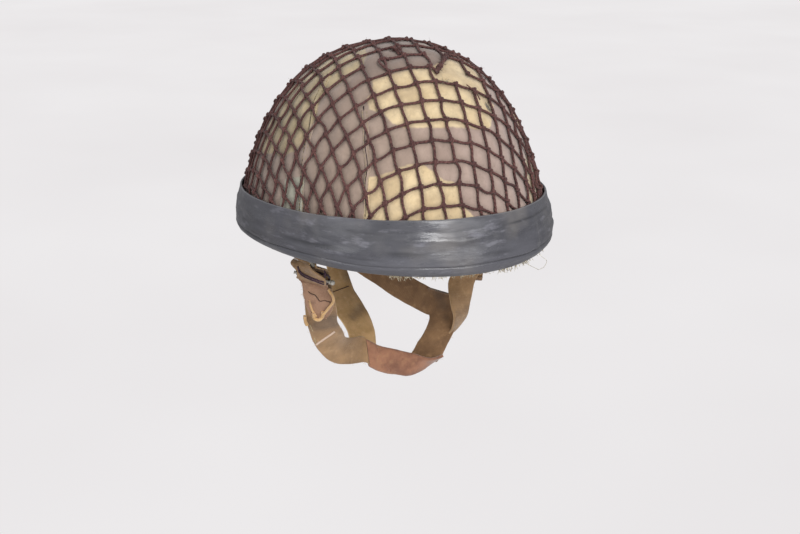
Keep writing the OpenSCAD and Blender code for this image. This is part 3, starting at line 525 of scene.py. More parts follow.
# ---- cloth cover
# The cloth's painted patches as outlines on the plan
PATCHES = {
    "tan": [
        [(29, -45), (33, -38), (35, -30), (37, -19), (41, -6), (32, 13), (24, 31), (25, 46), (48, 38), (71, 37),
         (90, 22), (91, 6), (85, -25), (74, -50), (66, -56), (57, -57), (47, -63), (40, -60), (39, -53)],
        [(81, -93), (86, -85), (90, -76), (92, -68), (98, -52), (109, -43), (115, -39), (122, -25), (133, -30),
         (145, -19), (185, -20), (150, -140), (109, -130)],
        [(-150, 30), (-120, 50), (-100, 90), (-75, 110), (-60, 150), (-110, 160), (-170, 110), (-190, 60),
         (-180, 20)],
        [(20, 95), (50, 90), (60, 120), (50, 165), (15, 185), (0, 150), (5, 115)]],
    "olive": [
        [(-3, -14), (15, -42), (10, -55), (13, -61), (10, -70), (8, -80), (14, -91), (15, -101), (15, -111),
         (9, -119), (-4, -127), (-22, -126), (-36, -128), (-58, -121), (-55, -108), (-52, -92), (-44, -73), (-36, -53),
         (-22, -31)],
        [(-60, 10), (-40, 35), (-45, 70), (-80, 75), (-105, 45), (-100, 5), (-80, -5)],
        [(95, 70), (120, 60), (150, 75), (150, 120), (110, 140), (90, 110)]],
    "dark": [
        [(4, -22), (-4, -3), (-11, 11), (0, 21), (9, 31), (17, 37), (31, 15), (41, -4), (37, -19), (35, -30),
         (33, -38), (29, -45), (28, -53), (27, -62), (23, -65), (18, -56), (15, -42)]],
    # a hole, drawn as near black cloth: the shell seen through it, and painted shade
    "hole": [[(71.5, 27.5), (73, 26), (75.5, 27), (77.5, 30), (76, 32.5), (73.5, 31.5)]],
    "pale": [
        [(10, -139), (31, -129), (44, -153), (40, -180), (12, -180)],
        [(-120, -60), (-95, -50), (-90, -90), (-100, -140), (-150, -120), (-160, -80)],
        [(-10, 60), (10, 55), (15, 85), (-10, 110), (-35, 100), (-30, 75)]],
}
across, down = ((460, 170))
a = np.linspace(0, 2 * np.pi, across, endpoint=False)
low = rim_z(a) - 1.3
t0 = np.arcsin(np.clip(np.maximum(low, 0.01) / (TALL + CLOTH), 0, 1) ** (flow(a) / 2))
t = t0 + (R(89.4) - t0) * np.linspace(0, 1, down)[:, None] ** 0.96
hem = np.stack([wall(a, low + h, d) for h, d in ((3.4, 0.9), (0.2, 0.9), (-0.2, 1.3), (0, 1.7), (1.2, CLOTH))])
HEM = len(hem)
skin = np.concatenate([hem, dome(a, t, CLOTH)[3:]])
out = unit(dome(a, t, 9) - dome(a, t, 0))
out = np.concatenate([np.repeat(out[:1], HEM, 0), out[3:]])
puff = 0.55 * lumps(skin, 26, 1) + 0.35 * lumps(skin * (1, 1, 0.5), 11, 2) + 0.18 * lumps(skin, 5, 3)
fold = lumps(skin * (0.5, 0.5, 0.15), 9, 4)
puff = puff + 0.5 * np.exp(-(fold / 0.09) ** 2) * (lumps(skin, 40, 5) > 0.1)
puff[:HEM] *= 0.3
skin = skin + out * (np.clip(puff, -0.7, 0.62))[..., None]
crown = np.clip(1 - np.hypot(skin[..., 0] - LEAN, skin[..., 1]) / CROWN, 0, 1)
skin[..., 2] += 2.6 * crown * (1.4 - 0.4 * crown)


def painted(p):
    """For the cloth's material: how far each point lies inside each kind of patch, and across the picture for painted
    light, in mm.
    """
    x, y = on_plan(p)
    found = {key: np.clip(np.max([inside_by(x, y, q) for q in outlines], 0), -25, 25)
             for key, outlines in PATCHES.items()}
    found["lit_across"] = p @ ACROSS
    return found


def beside(q):
    """The way across a row of places on the plan."""
    return unit(np.gradient(q, axis=0))[:, ::-1] * (-1, 1)


def strip(points, width, d, thick, steps=40):
    """A flat strip laid along a row of places on the plan."""
    q = np.asarray(points, float)
    s = walked(q)
    q = at_steps(np.linspace(0, s[-1], steps), s, q)
    side = beside(q) * width / 2
    rim = [(-1, -0.6), (-1, 0.6), (-0.8, 1), (0, 1.15), (0.8, 1), (1, 0.6), (1, -0.6)]
    return lofted(np.stack([from_plan(*(q + side * w).T, d + thick * h) for w, h in rim], 1))


def dashes(line, gap, length, r):
    """Stitches along a row of points in mm."""
    s = walked(line)
    return [tube(at_steps(k + length * np.array([0, 0.2, 0.5, 0.8, 1]), s, line),
                 r * np.array([0.5, 0.95, 1, 0.95, 0.5]), 5) for k in np.arange(gap / 2, s[-1] - length, gap)]


SEAMS = [[(-2, -60), (6, -85), (16, -101), (21, -114), (30, -132), (42, -152), (50, -176)],
         [(45, -66), (58, -76), (66, -83), (77, -90), (85, -100), (97, -110), (122, -135)],
         [(60, 72), (80, 92), (100, 118), (125, 140)], [(-60, 85), (-85, 110), (-105, 150)],
         [(-95, -20), (-130, -28), (-185, -40)]]
laps = [strip(q, 5, 2.1, 0.45) for q in SEAMS]
piece("cover_seams", laps, cloth_m, "helmet", marks=painted(np.vstack([q[0] for q in laps])))
# stitches along the seams, and dark lines beside them that paint the shadow in the gaps where the cloth laps
stitching, edges = [], []
for q in SEAMS:
    q = np.asarray(q, float)
    edges.append(tube(spread(from_plan(*(q + (-2.4, 1.2)).T, 2.45), 40), 0.42, 5))
    q = at_steps(np.linspace(0, len(q) - 1, 120), range(len(q)), q)
    for w in (-1.7, 1.7):
        stitching += dashes(from_plan(*(q + beside(q) * w).T, 2.75), 3.2, 2.2, 0.22)
piece("seam_stitches", stitching, thread_m, "helmet")
piece("seam_edges", edges, string_stuff("seam_gap_shadow", "#1f1614", "#2e2320", "#463630"), "helmet")

# ---- knotted string net
# The net is laid out on a ball: squares of MESH mm, CELLS each way, turned, tipped and skewed, in degrees
MESH, BALL, CELLS, TURN, TIP, SKEW = 15.32, 135, 14, -20.8, (7.2, -0.5), 93.8
step = 2 * np.arcsin(MESH / 2 / BALL)
# The wearer pulled it a little out of true: how far, across and up as the photographer saw it, in mm
PULL = ((-4.0, -2.6, 9.4, 7.0, -6.4, -1.3, -6.1, 0.4, 0.9, -2.6),
        (6.7, 1.0, -9.8, -10.8, -0.6, 3.7, 5.7, -3.9, 6.7, -5.0))
PULL_AT, PULL_REACH = (-1.5, 5), (6.5, 5)   # in meshes from the crown
NET = 3.7                                   # how far the strings' middles lie outside the shell


def spin(v, axis, angle):
    v, axis = np.asarray(v, float), np.asarray(axis, float)
    return v * np.cos(angle) + np.cross(axis, v) * np.sin(angle) + axis * (axis @ v) * (1 - np.cos(angle))


def quarter(si, sj):
    """Knots of one quarter of the net, from its two straight edges inwards, all meshes with equal sides."""
    ways = (np.array([np.cos(R(SKEW)), np.sin(R(SKEW)), 0]) * si, np.array([sj, 0, 0]))
    ai, aj = (np.cross([0, 0, 1], q) for q in ways)
    rows = [[spin([0, 0, 1], ai, i * step) for i in range(CELLS + 1)]]
    for j in range(1, CELLS + 1):
        row = [spin([0, 0, 1], aj, j * step)]
        for i in range(CELLS):
            n = unit(np.cross(rows[-1][i + 1], row[i]))
            row.append(rows[-1][i] - 2 * (rows[-1][i] @ n) * n)
        rows.append(row)
    return rows


quarters = {(si, sj): quarter(si, sj) for si in (1, -1) for sj in (1, -1)}


def seen(v, d):
    """Where the way v from the ball's middle meets the dome grown by d."""
    a = np.arctan2(v[1] / (WIDE + d), v[0] / (LONG + d))
    q, s = np.hypot(v[0] / (LONG + d), v[1] / (WIDE + d)), max(v[2], 0) / (TALL + d)
    m = flow(a)
    k = 1 / np.hypot(q, s)
    for _ in range(9):
        k = k / ((k * q) ** ROUND + (k * s) ** m) ** 0.5
    return dome(a, np.arctan2((k * s) ** (m / 2), (k * q) ** (ROUND / 2)), d)


def knot_at(i, j, d):
    v = quarters[1 if i >= 0 else -1, 1 if j >= 0 else -1][abs(j)][abs(i)]
    if v[2] < -0.1:
        return None
    for axis, angle in (([0, 0, 1], TURN), ([1, 0, 0], TIP[0]), ([0, 1, 0], TIP[1])):
        v = spin(v, axis, R(angle))
    if v[2] < 0.04:
        return None
    p = seen(v, d)
    c, r = (i - PULL_AT[0]) / PULL_REACH[0], (j - PULL_AT[1]) / PULL_REACH[1]
    far = max(0, abs(c) - 1.05) * PULL_REACH[0] + max(0, abs(r) - 1.05) * PULL_REACH[1]
    c, r = np.clip((c, r), -1.05, 1.05)
    terms = np.array([1, c, r, c * c, c * r, r * r, c ** 3, c * c * r, c * r * r, r ** 3]) * np.exp(-(far / 4) ** 2)
    p = seen(unit(p + ACROSS * (terms @ PULL[0]) + UP * (terms @ PULL[1])), d)
    return p + (0, 0, max(0, 3.2 * (1 - np.hypot(p[0] - LEAN, p[1]) / CROWN)))


knots = {}
for j in range(-CELLS, CELLS + 1):
    for i in range(-CELLS, CELLS + 1):
        p = knot_at(i, j, NET)
        if p is not None and p[2] > band_top(np.arctan2(p[1], p[0])) - 12:
            stray = wander(p, 21, 11) * 0.8
            n = unit(knot_at(i, j, 9) - p)
            knots[i, j] = (p + stray - n * (stray @ n), n)
# The knot that is gone and the strands that are broken, counted from the crown
lost = (3, 3)
broken = {((2, 3), (3, 3)), ((2, 2), (3, 2)), ((4, 3), (4, 4)), ((-1, 2), (0, 2))}
strands, lumpy, lines = [], [], []
for (i, j), (p, n) in knots.items():
    for other in ((i + 1, j), (i, j + 1)):
        if other not in knots or lost in ((i, j), other) or ((i, j), other) in broken:
            continue
        e, m = knots[other]
        k = np.linspace(0, 1, 7)[:, None]
        side = unit(np.cross(n, unit(e - p)))
        bow = np.sin(np.pi * k)
        line = p * (1 - k) + e * k + side * bow * rng.normal(0, 0.85)
        line = line + (n + m) / 2 * (bow * (0.25 - 0.5 * rng.random()) - 0.15)
        line += side * np.sin(2 * np.pi * k) * rng.normal(0, 0.32)
        strands.append(tube(line, 1.0 + 0.32 * np.abs(2 * k[:, 0] - 1) ** 3 + rng.normal(0, 0.05, 7), 6, caps=False))
        lines.append(line)
    if (i, j) == lost:
        continue
    u = np.array([1, 0, 0])
    if (i + 1, j) in knots:
        u = unit(knots[i + 1, j][0] - p)
    elif (i - 1, j) in knots:
        u = unit(p - knots[i - 1, j][0])
    v = unit(np.cross(n, u))
    turn = rng.normal(0, 0.25)
    for a0, rise, reach in ((0.78, 0.55, 2.3), (2.36, -0.1, 2.3), (1.57, 0.25, 1.5)):
        d = u * np.cos(a0 + turn) + v * np.sin(a0 + turn)
        k = np.linspace(-1, 1, 5)[:, None]
        line = p + d * k * reach * rng.uniform(0.9, 1.12) + n * (rise + 0.35 - 0.8 * k ** 2)
        lumpy.append(tube(line, 1.42 * np.sqrt(np.clip(1.12 - k[:, 0] ** 2, 0.1, 1)), 6))


def on_dome(places, d, n=0):
    """Places of the plan lifted by d off the shell, smoothed to n steps where n is given."""
    x, y = np.asarray(places, float).T
    base = from_plan(x, y, 0)
    line = base + unit(from_plan(x, y, 9) - base) * np.reshape(d, (-1, 1))
    return spread(line, n) if n else line


# The tear near the front: a matted clump, stubs, a loose end, and one strand broken and curled back
clump = on_dome([(46.5, -3.7), (41, 2.9), (34.1, 10.1), (28.9, 16.7)], [3.4, 5.2, 5.0, 3.6], 12)
loose = [on_dome([(38.3, -6.8), (42.5, -5.5), (46.5, -3.7)], [3.8, 4.4, 3.6], 8),
         on_dome([(28.9, 16.7), (27, 21), (27.5, 26)], [3.8, 3.6, 3.7], 8),
         on_dome([(34.9, -32.6), (29.7, -33), (24.5, -33), (20, -30.8), (18.7, -26.2), (22, -24)],
                 [3.9, 4.4, 5.0, 4.8, 4.2, 3.4], 16)]
for k in range(6):
    loose.append(clump + wander(clump * 1.3, 5, 90 + 3 * k) * 2.6)
ball = on_dome([(11.4, -12.2), (15.4, -12.7), (19.1, -13.4)], [4.2, 5.0, 4.3])
for k in range(4):
    loose.append(spread(ball + rng.normal(0, 0.9, (3, 3)), 8))
lumpy += [tube(q, 1.05 + 0.12 * lumps(q, 2, 5), 6) for q in loose]
lines += loose
drawn = on_dome([(60.9, 12.9), (65.9, 15.8), (70.1, 17.5), (73.1, 18.9)], [5.0, 6.2, 6.4, 5.4], 12)
fuzzy = [tube(drawn, 0.5, 6)]
fuzzy += hairs(clump, 150, 5.5, 0.13, 0.5, 3) + hairs(ball, 60, 4.5, 0.13, 0.5, 4)
fuzzy += hairs(loose[2][-6:], 24, 4, 0.12, 0.4, 5)
for (i, j), (p, n) in list(knots.items())[::3]:
    if (i, j) != lost and p[2] > 45:
        fuzzy += hairs([p, p + n], 3, 3.2, 0.10, 0.8, 1000 + 31 * i + j)
piece("net_fuzz", fuzzy, net_m, "helmet")
torn = on_dome([(55.2, -6.3), (55.5, -1.5), (57.7, 3.0), (59.7, 6.3)], 2.9)
gap = on_dome([(72, 27), (74, 26), (76.5, 28), (76, 31), (73.5, 30.5), (72, 27)], 2.4)
threads = hairs(torn, 46, 4.2, 0.14, 0.5, 6) + hairs(gap, 40, 2.6, 0.14, 0.4, 7)
piece("torn_cloth_threads", threads, fray_m, "helmet")
piece("net_strands", strands, net_m, "helmet", ["string_net"])
piece("net_knots", lumpy, net_m, "helmet")

# The cloth swells a little inside each mesh of the net, and has painted shade next to the strings
strings = KDTree(sum(len(q) for q in lines))
for k, q in enumerate(np.concatenate(lines)):
    strings.insert(q, k)
strings.balance()
open_skin = skin[HEM:]
away = np.array([strings.find(q)[2] for q in open_skin.reshape(-1, 3)]).reshape(open_skin.shape[:2])
string_shade_mask = np.zeros(skin.shape[:2])
string_shade_mask[HEM:] = np.clip(1 - (away - 1.9) / 2.2, 0, 1)
swell = (0.85 * np.clip((away - 2.2) / 4.2, 0, 1) ** 0.8 - 0.30)[..., None]
skin[HEM:] += out[HEM:] * swell * np.clip((open_skin[..., 2:] - low[:, None] - 3) / 6, 0, 1)
flat, faces, _ = lofted(np.swapaxes(skin, 0, 1), around=False, closed=True, flip=False)
top, rows = len(flat), len(skin)
flat = np.vstack([flat, skin[-1].mean(0) + (0, 0, 0.1)])
faces += [[k * rows + rows - 1, ((k + 1) % across) * rows + rows - 1, top] for k in range(across)]
plan = np.stack(on_plan(flat), -1) / 1000
marks = painted(flat)
marks["under"] = np.append(np.swapaxes(string_shade_mask, 0, 1).ravel(), 0)
cover = piece("cover", (flat, faces, plan[np.concatenate(faces)]), cloth_m, "helmet", ["cloth_cover"], marks)

# ---- rubber band
a = np.linspace(0, 2 * np.pi, 720, endpoint=False)[:, None]
lo, hi = rim_z(a) - 1.5 + 1.3 * near(a, R(272), 0.42), band_top(a)
h = hi - lo


def girth_lumps(r, z, size, seed):
    """Lumps round the band; a smaller r draws them out along it."""
    return lumps(np.stack(np.broadcast_arrays(np.cos(a) * r, np.sin(a) * r, z), -1), size, seed)


# Its section as (share of the height, offset), from the lower lip up the outside, over the top and down the inside
OUT = spread([(0.00, 3.2), (0.02, 4.9), (0.09, 7.2), (0.22, 8.7), (0.35, 9.1), (0.55, 8.9), (0.72, 8.3), (0.88, 7.9),
              (0.975, 7.8), (1.0, 7.3)], 84)
INN = spread([(1.0, 6.6), (0.975, 5.75), (0.8, 6.1), (0.5, 6.6), (0.3, 6.4), (0.15, 5.2), (0.05, 3.0), (0.0, 2.3)], 12)
hh, oo = np.vstack([OUT, INN]).T[:, None]
z = lo + h * hh
outer = np.concatenate([np.ones(len(OUT)), np.zeros(len(INN))])[None, :]
wrinkle = 0.62 * girth_lumps(60, z * 1.5, 9, 21) + 0.24 * girth_lumps(90, z * 3, 5, 22)
drift = 1.6 * girth_lumps(40, 0, 15, 23)
dark = 0
# creases along the band: height, depth (a groove with painted shade where it is negative), width, seed
for centre, deep, wide, seed in (
        (0.44, -1.1, 0.55, 1), (0.385, 1.0, 1.5, 2), (0.33, -0.9, 0.55, 6), (0.20, -1.1, 0.55, 3),
        (0.145, 0.5, 1.4, 4), (0.80, -0.5, 0.6, 5), (0.66, 0.6, 2.6, 7)):
    some = np.clip(0.75 + 0.9 * girth_lumps(70, 0, 33, 60 + seed), 0, 1)
    line = some * np.exp(-((z - lo - centre * h - drift) / wide) ** 2)
    wrinkle = wrinkle + deep * line
    dark = dark + (line if deep < 0 else 0)
# dents and folds across it: azimuth, height, depth, reach along and up
for c, z0, deep, wa, wz in ((-1.0, 15, 0.9, 0.02, 3.0), (0.35, 18, 0.9, 0.012, 14), (0.41, 16, -0.7, 0.01, 16),
                            (-1.9, 20, -1.0, 0.02, 3), (2.6, 14, 0.8, 0.015, 10)):
    wrinkle = wrinkle + deep * np.exp(-((a - c % (2 * np.pi)) / wa / 3) ** 2 - ((z - z0) / wz) ** 2)
wave_top = 0.5 * girth_lumps(50, 0, 13, 24) * hh ** 3
grow = oo + wrinkle * outer * np.clip(np.minimum(hh, 1.0 - hh) * 12, 0.15, 1)
shape = wall(a, z + wave_top * 1.2, grow)
edge = np.broadcast_to(np.where(outer > 0, np.maximum(1 - hh * 18, 1 - (1 - hh) * 25), 0), shape.shape[:2])
band = piece("inner_tube_band", lofted(shape, closed=True), rubber_m, "helmet", ["rubber_band"],
             {"edge": np.clip(edge, 0, 1), "crease": np.clip(dark * outer, 0, 1)})


# ---- webbing
def aim(az, el):
    return np.array([np.cos(R(az)) * np.cos(R(el)), np.sin(R(az)) * np.cos(R(el)), np.sin(R(el))])


def stations(route, parts):
    """A route's stations (centre, way across, share of the width) with smooth steps between them."""
    s = np.array([[*p[:3], *aim(p[3], p[4]), p[5] if len(p) > 5 else 1.0] for p in route])
    e = np.vstack([s[:1], s, s[-1:]])
    return np.array([between(*e[i:i + 4], j / parts) for i in range(len(s) - 1) for j in range(parts)] + [s[-1]])


def lie(route, parts=8):
    """Centres along a route, the ways across it and out of its face, and its share of the width."""
    s = stations(route, parts)
    c, u = s[:, :3], unit(s[:, 3:6])
    ends = np.vstack([c[:1], c, c[-1:]])
    return c, u, unit(np.cross(unit(ends[2:] - ends[:-2]), u)), s[:, 6:7]


# Where folds and creases lie in shade: a place and how far it reaches
SHADE = [((-17.1, 66.9, -81.2), 5.5), ((-14.3, 69.9, -91.1), 5.0), ((-12.2, 70.8, -102.4), 3.5), ((-1.5, -74, -76), 7),
         ((3.5, -66, -74), 8), ((6.5, -64, -68), 7), ((-46.7, -4.1, -91.3), 5.0), ((-43.7, -11.1, -93.3), 3.6),
         ((-50.2, 3.7, -89.0), 5.0), ((-77, 7, -66), 7)]
EYE = 2.55   # from the middle of a ring's bar to the middle of the webbing round it


def section(w, t, flat=9):
    """A webbing's section: two flat sides with round selvedges, as (across, out)."""
    r = t / 2
    bend = np.linspace(np.pi / 2, -np.pi / 2, 6)[1:-1]
    right = np.stack([w / 2 - r + r * np.cos(bend), r * np.sin(bend)], -1)
    top = np.stack([np.linspace(-1, 1, flat) * (w / 2 - r), np.full(flat, r)], -1)
    return np.vstack([top, right, top[::-1] * (1, -1), right[::-1] * (-1, 1)])


def strap(route, w=25.0, t=2.0, parts=8, seed=1, rag=0.25, wav=0.22):
    """Webbing along a route with a ragged selvedge and a wavy face, and how near its edge each point lies."""
    c, u, f, share = lie(route, parts)
    sec = section(w, t)
    x, o = sec[:, 0][None, :, None], sec[:, 1][None, :, None]
    p = c[:, None] + u[:, None] * x * share[:, None] + f[:, None] * o
    k = np.abs(sec[:, 0]) / (w / 2)
    p = p + f[:, None] * (wav * lumps(p, 12, seed) + 0.35 * wav * lumps(p, 4.5, seed + 1))[..., None]
    p = p + (u[:, None] * np.sign(x)) * (rag * k[None] ** 4 * lumps(p, 5, seed + 2))[..., None]
    return lofted(p), np.broadcast_to(np.clip((k - 0.72) / 0.28, 0, 1)[None], p.shape[:2]).ravel()


def eye(bar, az, seed, inner=1):
    """A strap's turn over a ring's bar, from its inner side to its outer side."""
    d = aim(az + 90, 0) * inner
    turn = [[*(bar + d * EYE * np.cos(R(k)) + np.array([0, 0, EYE * np.sin(R(k))])), az, 0]
            for k in np.linspace(0, 180, 7)]
    return strap(turn, 23.5, seed=seed, rag=0.1, wav=0.05)


def webbing_piece(name, stuff, body, replaced, flat, rests, *straps):
    """A piece of straps with their edges and shaded places marked."""
    parts = [q[0] for q in straps]
    points = np.vstack([q[0] for q in parts])
    shade = sum(np.exp(-(np.linalg.norm(points - np.array(at), axis=1) / reach) ** 2) for at, reach in SHADE)
    obj = piece(name, parts, stuff, body, [replaced],
                {"edge": np.concatenate([q[1] for q in straps]), "shade": np.clip(shade, 0, 0.8)})
    return obj


# Routes: stations of (x, y, z, azimuth and elevation of the way across, share of the width)
rb, lb, nb = np.array([20, -97.51, -8.47]), np.array([20, 104.88, -12.22]), np.array([-122.28, 0, -8.65])
right_route = [
    [*(rb + (0, EYE, 0.1)), 0, 0], [*(rb + (0, EYE + 0.8, -3)), 2, 0], [*(rb + (-0.2, 5.4, -4.6)), 28, -7],
    [19.2, -88.8, -16, 43, -12], [17.6, -85.6, -25, 46, -14], [13.2, -80.4, -41, 53, -15],
    [7.2, -75.4, -58, 55, -8, 1.08], [-0.3, -69.6, -74, 55, 8, 1.02], [-5.6, -60, -91, 55, 30, 1.1],
    [-10, -48.5, -105, 55, 60, 1.05],
    [-12, -35, -110.5, 55, 84], [-14, -22, -112.5, 55, 96], [-14, -16, -115, 55, 97]]
chin_route = [
    [-14, -15.5, -117.3, 55, 97], [-14, -8, -122.3, 55, 100, 1.08], [-13, 0, -127, 55, 101, 1.04],
    [-11, 11, -131, 55, 98, 0.97], [-8, 25, -135.5, 55, 86, 0.86], [-5, 38, -137, -35, 62, 0.74],
    [-3, 48, -135.8, -35, 38, 0.5], [-2, 60, -133.5, -35, 20, 0.14]]
jaw_route = [
    [-17, 67.7, -77, 30, -8, 0.95], [-17.5, 69.5, -95, 33, -8], [-14.5, 68.5, -106, 42, -5, 0.95],
    [-11.5, 61.5, -115, 50, 0], [-13, 56, -124, 55, -5, 1.02], [-14.5, 51.5, -133, 55, -10], [-16, 47, -139, 55, -10]]
left_route = [
    [*(lb + (0, -EYE, 0.1)), 0, 0], [*(lb + (0, -EYE, -3)), 4, 0], [12, 98, -28, 30, 0], [2, 91, -48, 60, -5],
    [-4, 82.5, -65, 66, -5], [-3, 79.5, -82, 88, -12], [-0.5, 78, -98, 106, -12, 0.85], [-4, 75, -110, 112, -10, 0.5],
    [-8, 71, -117, 112, -10, 0.3]]
roll_route = [
    [*(lb + (0, EYE, -0.3)), 0, 0], [*(lb + (0, EYE, -4)), 3, 0], [10.3, 103.2, -28, 28, 0],
    [2.1, 99.2, -46, 50, -3], [-4, 94.7, -60, 58, -5]]
left_nape = [
    [-109.5, 8.5, -36.8, 85, 8, 0.56], [-98, 16, -48, 66, 40, 0.8], [-82, 27, -58, 55, 60], [-68, 37, -67, 55, 60],
    [-53, 46, -76, 55, 62], [-38, 55, -83.5, 55, 66], [-26, 62, -88.5, 55, 70], [-20.5, 69, -91, 55, 72]]
right_nape = [
    [-109.5, -8.5, -36.8, 95, -8, 0.56], [-98, -6, -45, 100, -18, 0.8], [-89, -3, -50, 100, -20],
    [-81, -3, -61, 95, -20], [-71, -6.5, -74, 90, -15, 1.18], [-58, -8.6, -84, 82, -12, 1.31],
    [-45, -8.8, -94, 78, -10, 1.26], [-32, -10.2, -103, 80, -12, 1.12], [-20, -15.6, -112, 86, -17, 1.1]]
tab_route = [
    [*(nb + (EYE, 0, 0.1)), 90, 0], [*(nb + (EYE + 0.2, 0, -4)), 90, 0], [-117, 0, -19, 90, 0],
    [-113, 0, -28, 90, 0], [-110, 0, -36, 90, 0]]
# the slider: ways along the strap, across it and out of its face, then the middles of frame and bar
sl_run, sl_side = unit([-3, 4, -11]), aim(43, -12)
sl_face = unit(np.cross(sl_run, sl_side))
sl_down = np.cross(sl_side, sl_face)
sl_mid = np.array([18.5, -87.64, -19.73]) + sl_face * 4.2
bar_mid = sl_mid + sl_face * 2.2
fold_mid = bar_mid + sl_face * 2.45
b = rb + (0, -EYE, -0.6)
fold_route = [
    [*b, 0, 0], [*(b - (-1.6, 1.2, 3)), 15, -3], [*(fold_mid - sl_down * 6 + sl_face * 1.5), 34, -9],
    [*(fold_mid + sl_down * 2.4), 43, -12]]
s0 = sl_mid + sl_down * 5.8 + sl_side
end_route = [
    [*s0, 43, -12], [*(s0 + sl_down * 3), 45, -12], [19.2, -86.2, -33, 50, -12], [15.8, -82.4, -46, 54, -6],
    [11.4, -79.4, -57, 55, -2, 0.78], [8.9, -77.6, -65, 55, 0, 0.45]]
webbing_piece("right_strap", webbing_m, "harness", "right_side_strap", (0.025, 0.20), "right_ring",
              strap(right_route, seed=31), eye(rb, 0, 32))
webbing_piece("right_fold", webbing_m, "harness", "right_strap_fold", (0.025, 0.022), "right_ring",
              strap(fold_route, seed=33, rag=0.1, wav=0.05))
webbing_piece("free_end", webbing_end_m, "strap_tip", "strap_end", (0.025, 0.040), "slider_frame",
              strap(end_route, seed=34, rag=0.5))
webbing_piece("chin_webbing", webbing_m, "harness", "chin_strap", (0.025, 0.08), "right_strap",
              strap(chin_route, 23.0, seed=35))
webbing_piece("jaw_webbing", webbing_dark_m, "harness", "left_jaw_strap", (0.027, 0.055), "chin_webbing",
              strap(jaw_route, 27, seed=36))
webbing_piece("left_strap", webbing_m, "harness", "left_side_strap", (0.025, 0.11), "left_ring",
              strap(left_route, seed=37), eye(lb, 0, 38, -1))
roll_axis = aim(58, -5)
roll_mid = np.array([-8.4, 93.6, -63.5])
e1 = unit(np.cross(roll_axis, [0, 0, 1]))
e2 = np.cross(roll_axis, e1)
spiral = []
for k in np.linspace(0, 2 * np.pi * 1.9, 34):
    q = 4.3 - 1.0 * k / (2 * np.pi)
    spiral.append([*(roll_mid + e1 * q * np.cos(k) + e2 * q * np.sin(k)), 58, -5])
webbing_piece("rolled_end", webbing_dark_m, "harness", "left_strap_roll", (0.025, 0.09), "left_ring",
              strap(roll_route, seed=39), strap(spiral, 24.5, 1.7, parts=2, seed=40, wav=0.1))
nape_l = webbing_piece("left_nape_webbing", webbing_dark_m, None, "left_nape_strap", (0.025, 0.125), "jaw_webbing",
                       strap(left_nape, seed=41))
# the right nape strap wears the lighter copy of the webbing: painted light
nape_r = webbing_piece("right_nape_webbing", pale_and_lit_webbing_m, None, "right_nape_strap", (0.025, 0.135), "chin_webbing",
                       strap(right_nape, seed=42))
for obj, last in ((nape_l, (-0.021, 0.064, -0.089)), (nape_r, (-0.026, -0.018, -0.108))):
    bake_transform(obj)
webbing_piece("nape_tab_webbing", webbing_m, "helmet", "nape_tab", (0.027, 0.035), "nape_ring",
              strap(tab_route, 27, seed=43), eye(nb, 90, 44, -1))

# chamois sleeve over the chin strap, open at both ends with its edges turned in
c, u, f, share = lie(chin_route, 10)
turn = np.linspace(0, 2 * np.pi, 48, endpoint=False)
wide, thick = 13.2, 2.9
sx = np.sign(np.cos(turn)) * np.abs(np.cos(turn)) ** 0.55 * wide
so = np.sign(np.sin(turn)) * np.abs(np.sin(turn)) ** 0.75 * thick
start = np.clip(0.5 + np.arange(len(c)) / 14, 0, 1)[:, None, None]
skin = c[:, None] + u[:, None] * sx[None, :, None] * share[:, None]
skin = skin + f[:, None] * so[None, :, None] * (0.35 + 0.65 * share[:, None]) * start
normal = unit(u[:, None] * (sx / wide ** 2)[None, :, None] + f[:, None] * (so / thick ** 2)[None, :, None])
crease = lumps(skin * (0.6, 0.35, 1.0), 5.5, 51)
puff = 0.7 * lumps(skin, 13, 52) + 0.5 * np.abs(crease) - 0.25 + 0.15 * lumps(skin, 2.6, 53)
skin = skin + normal * (puff * np.clip(share * 1.4, 0.2, 1))[..., None]
inner = c[:, None] + (skin - c[:, None]) * 0.86
rows = np.concatenate([inner[:4][::-1], skin, inner[-4:][::-1]])
sleeve = piece("chamois_sleeve", lofted(rows, caps=False), chamois_m, "harness", ["chin_leather"])
seam = [(-12.1, -6.2, -113.3), (-11.2, -3.4, -121.5), (-10.0, -0.3, -129.4), (-8.3, 6.2, -138.8)]
piece("chamois_seam", [tube(spread(seam, 30), 0.5, 6)], chamois_m, "harness")


# ---- what is sewn and knotted on the straps
def sewn(name, stuff, body, *lines):
    """One piece of cords, each as (radius, steps, sides, looseness, seed, places)."""
    parts = []
    for r, n, sides, loose, seed, places in lines:
        q = spread(places, n)
        parts.append(tube(q + wander(q, 4, seed) * loose, r, sides))
    return piece(name, parts, stuff, body)


seam_m = string_stuff("brown_seam", "#4c372a", "#634a38", "#7d5f49")
purple_m = string_stuff("dark_cord", "#3b2730", "#553a48", "#75566a")
tape_m = webbing("pale_tape", "#c8ab95", "#dcc3af", "#ead9ca", "#a98c76")
sewn("free_end_binding", pale_and_lit_webbing_m, "strap_tip",
     (1.25, 50, 8, 0.3, 5, [(27.9, -80.5, -33.5), (28.5, -78.6, -37), (26.4, -75.0, -44.5), (22.7, -75.4, -49.7),
                            (17.1, -76.8, -56.4), (13.3, -78.3, -61.4)]),
     (1.5, 40, 8, 0.4, 6, [(14.5, -78.2, -57.4), (13.2, -77.6, -61.6), (10.4, -79.2, -65.2), (8.2, -82.4, -64.2),
                           (9.4, -84.5, -58.4)]),
     (0.95, 40, 8, 0.35, 7, [(12.1, -89.5, -46.3), (10.5, -87.0, -52.5), (9.3, -84.5, -57.8), (9.6, -81.6, -62)]))
